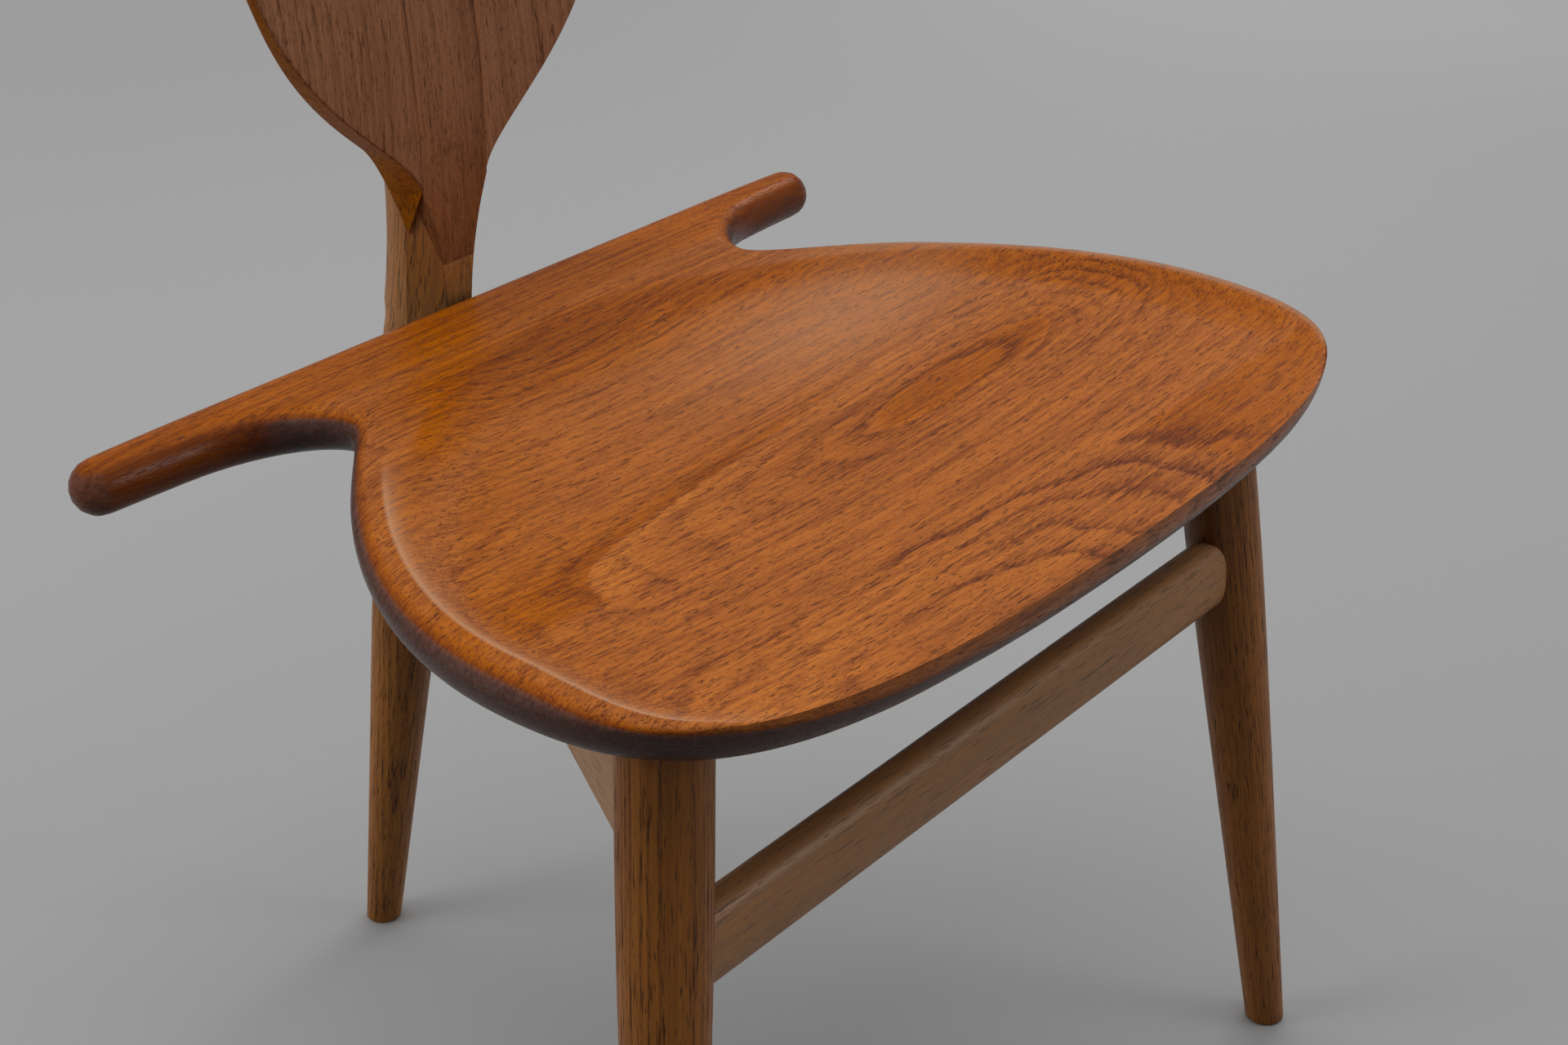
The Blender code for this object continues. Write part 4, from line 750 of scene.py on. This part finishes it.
def seat_skin(x, y):
    """Heights of the seat's top and underside at x, y, and the depth of the dish there.

    Top: the rim plane less the dish (a short slope inside the rim and a bowl, both bounded behind by an arc across the
    seat) less the rounded edge, which starts at a crisp crest on the sides. Underside: flat, and rising to the edge as
    a quarter ellipse."""
    x = np.abs(x)
    distance, spot = nearest(seat_edge[:, :2], x, y)
    rim, share, under = (along_edge(spot, column) for column in (2, 3, 4))
    sided = np.clip((rim - RIM_FRONT_W) / (RIM_SIDE_W - RIM_FRONT_W), 0.0, 1.0)
    edge = EDGE_FRONT + (EDGE_SIDE - EDGE_FRONT) * sided
    edge, run = edge + (HORN_R - edge) * share, rim + (HORN_R - rim) * share
    under = under + (HORN_R - under) * share
    fall = blend((FALL_Y - y) / (FALL_Y - SEAT_FRONT_Y))
    half = np.interp(y, crease[flank_rows, 1], crease[flank_rows, 0])
    inside = np.clip((distance - rim) / WALL_RUN, 0.0, 1.0)
    wall = WALL_DEPTH * np.where(inside < 0.6, 1.25 * inside, 1.0 - 1.5625 * (1.0 - inside) ** 2) * (1.0 - fall)
    ahead = DISH_REAR_Y - DISH_REAR_BEND * x ** 2 - y
    bowl = BOWL_DEPTH * np.maximum(1.0 - (x / half) ** 2, 0.0)
    bowl = bowl * (1.0 - (1.0 - np.clip(ahead / BOWL_RUN, 0.0, 1.0)) ** 2)
    dish = blend(ahead / DISH_REAR_RUN) * (wall + bowl)
    hang = share * HORN_DROP * np.clip((x - HORN_REACH + HORN_DROP_RUN) / HORN_DROP_RUN, 0, 1) ** 2
    bend = CREST * sided * (1.0 - share) * blend((CREST_END_Y - y) / CREST_RUN)
    turned = bend + (1.0 - bend) * (1.0 - np.clip(distance / run, 0.0, 1.0))
    level = np.sqrt(1.0 - bend ** 2)
    top = rim_plane(y) - dish - edge * (level - np.sqrt(1.0 - turned ** 2)) / level - hang
    widest = rim_plane(along_edge(spot, 1)) - edge
    low = SEAT_UNDER + round_over(distance, under, 1.0) * (widest - SEAT_UNDER) - hang
    return np.maximum(top, low), low, dish


def seat_grids():
    """Seat: rows from the front to the rear edge, columns from rim to rim with one on the crease inside the rim."""
    spots = np.concatenate([np.linspace(0, 80, 90, endpoint=False), np.linspace(80, 144, 110, endpoint=False),
                            np.linspace(144, 184, 45, endpoint=False), np.arange(184, 235)])
    reach, y = (along_edge(spots, column)[:, None] for column in (0, 1))
    whole_rim = crease[:flank_rows.stop]
    inner = np.minimum(np.interp(y[:, 0], whole_rim[:, 1], whole_rim[:, 0], left=0.0)[:, None], reach)
    dish_share = 1.0 - (1.0 - np.linspace(0, 1, 64)) ** 1.25
    rim_share = np.sin(np.linspace(0, np.pi / 2, 15)[1:])
    half = np.hstack([inner * dish_share, inner + (reach - inner) * rim_share])
    x = np.hstack([-half[:, :0:-1], half])
    y = y + 0 * x
    top, low, _ = seat_skin(x, y)
    return [np.stack([x, y, z], -1) for z in (top, low)]


seat = make_piece("carved_seat", *two_faces(*seat_grids()), sharp=30.0)
for side in (-1, 1):
    cut_out(seat, leaf_recess(side * HINGE_X, 1), 30.0)
seat_x, seat_y, seat_z = points_of(seat).T
seat_top, _, seat_dish = seat_skin(seat_x, seat_y)
seat_depth = np.maximum(seat_top - seat_z, 0.0)
seat_drop = np.maximum(rim_plane(seat_y) - seat_dish - seat_z, 0.0)


def bump(x, y, middle, size):
    """Round hill of height 1 about a middle point, with its two half widths."""
    return np.exp(-((x - middle[0]) / size[0]) ** 2 - ((y - middle[1]) / size[1]) ** 2)


# Strengths of the painted shade on the seat's sides, the horns' sides, the far rim and the dish slope, and of the
# darker horns and bar.
SIDE_SHADE_DARK, UNDER_SHADE_EASE, HORN_DARK, HORN_SIDE_SHADE = 1.95, 1.1, 0.3, 0.9
BAR_DARK, FAR_RIM_SHADE, SLOPE_SHADE = 0.3, 0.35, 0.3
# Strengths of the painted sheen on the crease, the far rim and a patch, and of the richer colour in painted shade.
CREASE_SHEEN, FAR_RIM_SHEEN, PATCH_SHEEN, SLOPE_SHADE_RICH, HORN_SHADE_RICH = 0.8, 0.4, 0.36, 0.12, 0.9
LOOP_X, LOOP_Y, LOOP_TILT, LOOP_LEFT = 0.093, -0.104, 0.08, 0.336
REAR_EYE, REAR_EYE_SIZE = (-0.024, 0.058), (0.085, 0.024)
ARCH_X, ARCH_Y, ARCH_LEFT, ARCH_RIGHT, ARCH_DEEP, ARCH_SQUARE = -0.085, -0.253, 0.16, 0.132, 0.047, 2.4
JOINT_X, JOINT_Y, JOINT_SLOPE = 0.026, -0.198, 0.085


def seat_figure(x, y):
    """Growth rings on the seat's top: long loops about one middle on the main board, flame arcs on the front board.

    A loop is a flat ellipse, drawn out to the left, and a small eye of rings lies near the rear. An arc is a squared
    ellipse about a point near the front edge. Returns the count of rings, the tone and the strength of the lines."""
    u = x - LOOP_X
    w = y - LOOP_Y - LOOP_TILT * np.minimum(u, 0.0)
    levels = [0, 0.185, 0.30, 0.46, 0.66, 0.815, 1.3, 6.5]
    long = np.where(u < 0, -u / LOOP_LEFT, np.interp(u, [0, 0.076, 0.094, 0.115, 0.135, 0.155, 0.21, 1.0], levels))
    wide = np.where(w > 0, np.interp(w, [0, 0.014, 0.021, 0.027, 0.033, 0.040, 0.06, 0.3], levels),
                    np.interp(-w, [0, 0.012, 0.018, 0.0225, 0.026, 0.030, 0.05, 0.3], levels))
    loop = np.hypot(long, wide)
    main = np.interp(loop, [0, 0.185, 0.30, 0.46, 0.66, 0.815, 1.0, 1.3, 2.0, 4.0, 8.0],
                     [0, 1, 2, 3, 4, 4.9, 5.7, 6.6, 9, 20, 44])
    main = main - 1.9 - 0.5 * (seat_dish - 0.0148) / 0.0026
    main = main + 3.4 * bump(x, y, REAR_EYE, REAR_EYE_SIZE) - 5.0 * bump(x, y, (-0.125, 0.052), (0.04, 0.02))
    upper = blend(0.6 + w / 0.012) * (0.35 + 0.65 * blend((0.1 - x) / 0.2))
    tongue = np.interp(loop, [0, 0.17, 0.2, 0.5, 0.69, 0.73, 0.80, 0.825, 0.87, 1.0, 1.35],
                       [-0.3, -0.3, -0.05, 0, 0.05, 0.5, 0.6, -0.5, -0.2, -0.08, 0])
    main_tone = tongue * np.where(loop < 0.6, 1.0, upper) - 0.3 * bump(x, y, (-0.02, 0.058), (0.10, 0.026))
    main_lines = 0.3 + 0.8 * np.exp(-(loop / 0.95) ** 6) + 0.7 * bump(x, y, REAR_EYE, (0.12, 0.03))
    arch_x = np.abs(x - ARCH_X) / np.where(x > ARCH_X, ARCH_RIGHT, ARCH_LEFT)
    arch_y = np.abs(y - ARCH_Y) / ARCH_DEEP
    arch = (arch_x ** ARCH_SQUARE + arch_y ** ARCH_SQUARE) ** (1 / ARCH_SQUARE)
    arch = arch * (1.0 + 0.045 * np.sin(34.0 * x + 70.0 * y) + 0.03 * np.sin(91.0 * x - 46.0 * y + 1.3))
    arc = 80.0 + np.interp(arch, [0, 0.5, 0.76, 1.0, 1.2, 1.46, 1.8, 4.0], [0.3, 1, 2, 3, 4, 5, 5.6, 6.0])
    arc_lines = (1.2 - 0.7 * blend((-0.04 - x) / 0.1)) * (1.0 - 0.8 * blend((x - 0.1) / 0.05))
    ahead = y < JOINT_Y - JOINT_SLOPE * (x - JOINT_X)
    arc_tone = 0.3 * np.exp(-((arch - 0.85) / 0.35) ** 2) * blend((0.06 - x) / 0.1) - 0.25 * blend((x - 0.08) / 0.05)
    return -np.where(ahead, arc, main), np.where(ahead, arc_tone, main_tone), np.where(ahead, arc_lines, main_lines)


figure_rings, figure_tone, figure_lines = seat_figure(seat_x, seat_y)
# Where the horns, the sides with the underside, and the rear bar are, each as a share from 0 to 1.
bar_part = blend((seat_y - 0.085) / 0.02)
horn_part = blend((np.abs(seat_x) - 0.15) / 0.04) * bar_part
side_part = blend((seat_drop - 0.0012) / 0.0040)
edge_gap, edge_spot = nearest(seat_edge[:, :2], np.abs(seat_x), seat_y)
# Painted shade: the seat's sides and the underside's border are dark, partly shade and partly darker end grain, and the
# underside is lighter again toward its middle.
# The horns and the rear bar are a little darker, the horns' sides much darker with painted shade, and the far rim and
# the slope inside the dish a little dark with painted shade.
flank_part = side_part * (1 - horn_part)
shade_and_tone = -SIDE_SHADE_DARK * flank_part - (HORN_DARK + HORN_SIDE_SHADE * side_part) * horn_part - BAR_DARK * bar_part
shade_and_tone = shade_and_tone + UNDER_SHADE_EASE * flank_part * blend((edge_gap - 0.02) / 0.07)
crest_gap = edge_gap - along_edge(edge_spot, 2)
far_rim = blend((seat_x - 0.03) / 0.08) * blend((0.05 - seat_y) / 0.05) * (edge_spot > 45) * (1 - side_part)
far_rim = far_rim * (1.0 - blend((crest_gap + 0.001) / 0.003))
slope_gap = np.minimum(0.9 * (DISH_REAR_Y - DISH_REAR_BEND * seat_x ** 2 - seat_y), crest_gap)
slope_part = blend(slope_gap / 0.007) * (1.0 - blend((slope_gap - 0.014) / 0.020)) * blend((seat_x + 0.17) / 0.10)
slope_part = slope_part * blend((seat_y + 0.22) / 0.06) * (1.0 - side_part)
shade_and_tone = shade_and_tone - FAR_RIM_SHADE * far_rim - SLOPE_SHADE * slope_part
# Painted sheen: the wood is paler and greyer along the crease inside the left rim, on the far rim and on a patch right
# of the middle.
crease_sheen = (crest_gap > -0.0003) * (edge_spot < 150) * (seat_depth < 0.001) * (seat_x < 0)
crease_sheen = crease_sheen * blend((seat_y - SEAT_FRONT_Y - 0.02) / 0.04) * blend((0.03 - seat_y) / 0.05)
sheen_patch = bump(seat_x, seat_y, (0.115, -0.02), (0.1, 0.045)) * (1 - side_part) * (1 - far_rim)
crease_sheen = crease_sheen * np.exp(-np.maximum(crest_gap, 0) / 0.0035)
seat_sheen_and_shade = CREASE_SHEEN * crease_sheen + FAR_RIM_SHEEN * far_rim + PATCH_SHEEN * sheen_patch
# Painted shade: the colour is richer on that slope and on the sides of the horns, short of their tips.
horn_side = side_part * horn_part * blend((0.247 - np.abs(seat_x)) / 0.015)
seat_sheen_and_shade = seat_sheen_and_shade - SLOPE_SHADE_RICH * slope_part - HORN_SHADE_RICH * horn_side
teak_seat = wood("teak_seat", (0.395, 0.114, 0.0145), (0.162, 0.035, 0.0065), (0.08, 0.018, 0.005), wander=0.4,
                 ring_show=0.75, streak=0.95, drift=0.25, pore_length=0.010, pore_width=0.0010, pore_share=0.545,
                 pore_show=0.85, gloss=0.32, shine=0.22)
lay_grain(seat, (0, 0, 0.4), (1, 0, 0), (0, 1, 0), figure_rings + seat_depth / 0.0028,
          figure_tone * (1 - side_part) + shade_and_tone, figure_lines, seat_sheen_and_shade)
settle(seat, "seat", "teak", teak_seat, "seat")

# Seat buffers
# Two leather discs glued on the side rails, on which the closed seat rests.
# They show only when the seat is tipped up.
leather = speckled("leather_dark", 1500.0, (0.06, 0.032, 0.018, 1), (0.15, 0.085, 0.05, 1), 0.6, 0.0002)
dress("seat_buffer", leather)

# Floor
# Plain pale grey floor that takes the soft shadow of the chair.
# Seen directly or in a reflection it is pale out to its rim, where no lamp reaches, and it throws little light back up.
FLOOR_R, FLOOR_CORNERS, NEAR_SHADE, FAR_SHADE = 14.0, 64, 0.80, 0.88
GLOW, GLOW_START, GLOW_END = 0.3, 1.7, 5.0


def seen(finish):
    """1 for a look from the camera, in a reflection or through glass, and 0 for other light."""
    ray = add_node(finish, "ShaderNodeLightPath", {}).outputs
    mirrored = sums(finish, "MAXIMUM", ray["Is Glossy Ray"], ray["Is Transmission Ray"])
    return sums(finish, "MAXIMUM", ray["Is Camera Ray"], mirrored)


floor_paint, floor_shader = new_finish("floor_grey")
floor_place = object_place(floor_paint)
floor_shader.inputs["Roughness"].default_value = 0.9
floor_shader.inputs["Specular IOR Level"].default_value = 0.1
floor_shader.inputs["Emission Color"].default_value = (1.0, 1.0, 1.0, 1.0)
floor_seen = seen(floor_paint)
floor_tone = mixed(floor_paint, floor_seen, (0.1, 0.1, 0.1, 1.0), (0.37, 0.37, 0.37, 1.0))
floor_back = add_node(floor_paint, "ShaderNodeSeparateXYZ", {"Vector": floor_place}).outputs["Y"]
floor_fade = add_node(floor_paint, "ShaderNodeMapRange", {"Value": floor_back, "From Min": 0.0, "From Max": 2.0,
                                                          "To Min": NEAR_SHADE, "To Max": FAR_SHADE}).outputs[0]
floor_tone = add_node(floor_paint, "ShaderNodeVectorMath", {0: floor_tone, "Scale": floor_fade}, operation="SCALE")
floor_way = add_node(floor_paint, "ShaderNodeVectorMath", {0: floor_place}, operation="LENGTH").outputs["Value"]
floor_glow = scaled(floor_paint, ease(floor_paint, floor_way, GLOW_START, GLOW_END), GLOW)
feed(floor_paint, floor_shader, Base_Color=floor_tone.outputs[0],
     Emission_Strength=scaled(floor_paint, floor_glow, floor_seen))
turn = np.linspace(0, 2 * np.pi, FLOOR_CORNERS, endpoint=False)
floor_points = np.column_stack([FLOOR_R * np.cos(turn), FLOOR_R * np.sin(turn), np.zeros(FLOOR_CORNERS)])
studio_floor = make_piece("studio_floor", floor_points, [list(range(FLOOR_CORNERS))])
studio_floor.data.materials.append(floor_paint)

# Light
# One very wide soft lamp overhead and weaker ones all round, in a dim even surround.
# A small lamp high up on the right gives the highlights on the rounded edges.
LAMP_AIM = (0.0, 0.0, 0.4)


def lamp(name, place, size, power, mirrored=False, aim=LAMP_AIM):
    """Square soft lamp at a place, turned to look at a point. Only a mirrored one shows as a highlight."""
    light = bpy.data.lights.new(name, "AREA")
    light.shape, light.size, light.energy = "SQUARE", size, power
    holder = bpy.data.objects.new(name, light)
    holder.location = place
    way = np.array(aim, dtype=float) - np.array(place)
    tilt, heading = math.atan2(math.hypot(way[0], way[1]), -way[2]), math.atan2(way[1], way[0])
    holder.rotation_euler = (tilt, 0.0, heading - math.pi / 2)
    holder.visible_glossy = mirrored
    bpy.context.scene.collection.objects.link(holder)


lamp("lamp_overhead", (0.1, 0.1, 4.0), 4.4, 138.0, aim=(0.1, 0.1, 0.0))
lamp("lamp_key", (1.75, 0.95, 2.3), 1.8, 11.0)
lamp("lamp_left", (-2.0, 1.5, 1.3), 1.2, 27.0)
lamp("lamp_front", (1.95, -3.45, 1.7), 1.4, 36.0, mirrored=True)
lamp("lamp_right", (2.4, 0.8, 0.9), 1.4, 6.0)
lamp("lamp_back", (0.3, 2.6, 1.8), 1.8, 8.0)
lamp("lamp_highlight", (2.0, 0.2, 1.9), 0.6, 4.0, mirrored=True, aim=(0.0, 0.0, 0.45))
world = bpy.data.worlds.new("pale_surround")
bpy.context.scene.world = world
world.use_nodes = True
surround = world.node_tree.nodes["Background"]
surround.inputs["Color"].default_value = (1.0, 1.0, 1.0, 1.0)
feed(world, surround, Strength=scaled(world, seen(world), 0.05, 0.14))

# Camera
# Seen from the front left and a little above, as in the photograph.
# Its place, aim and lens were fitted to the outlines of the chair there.
LENS_MM, SENSOR_MM, LOOK_DOWN, LOOK_RIGHT = 55.55, 36.0, 28.021, 50.573
lens = bpy.data.cameras.new("camera")
lens.lens, lens.sensor_width = LENS_MM, SENSOR_MM
camera = bpy.data.objects.new("camera", lens)
camera.location = (-0.7904, -0.72245, 0.9338)
camera.rotation_euler = (math.radians(90 - LOOK_DOWN), 0.0, math.radians(-LOOK_RIGHT))
bpy.context.scene.collection.objects.link(camera)
bpy.context.scene.camera = camera
bpy.context.scene.view_settings.view_transform = "Standard"
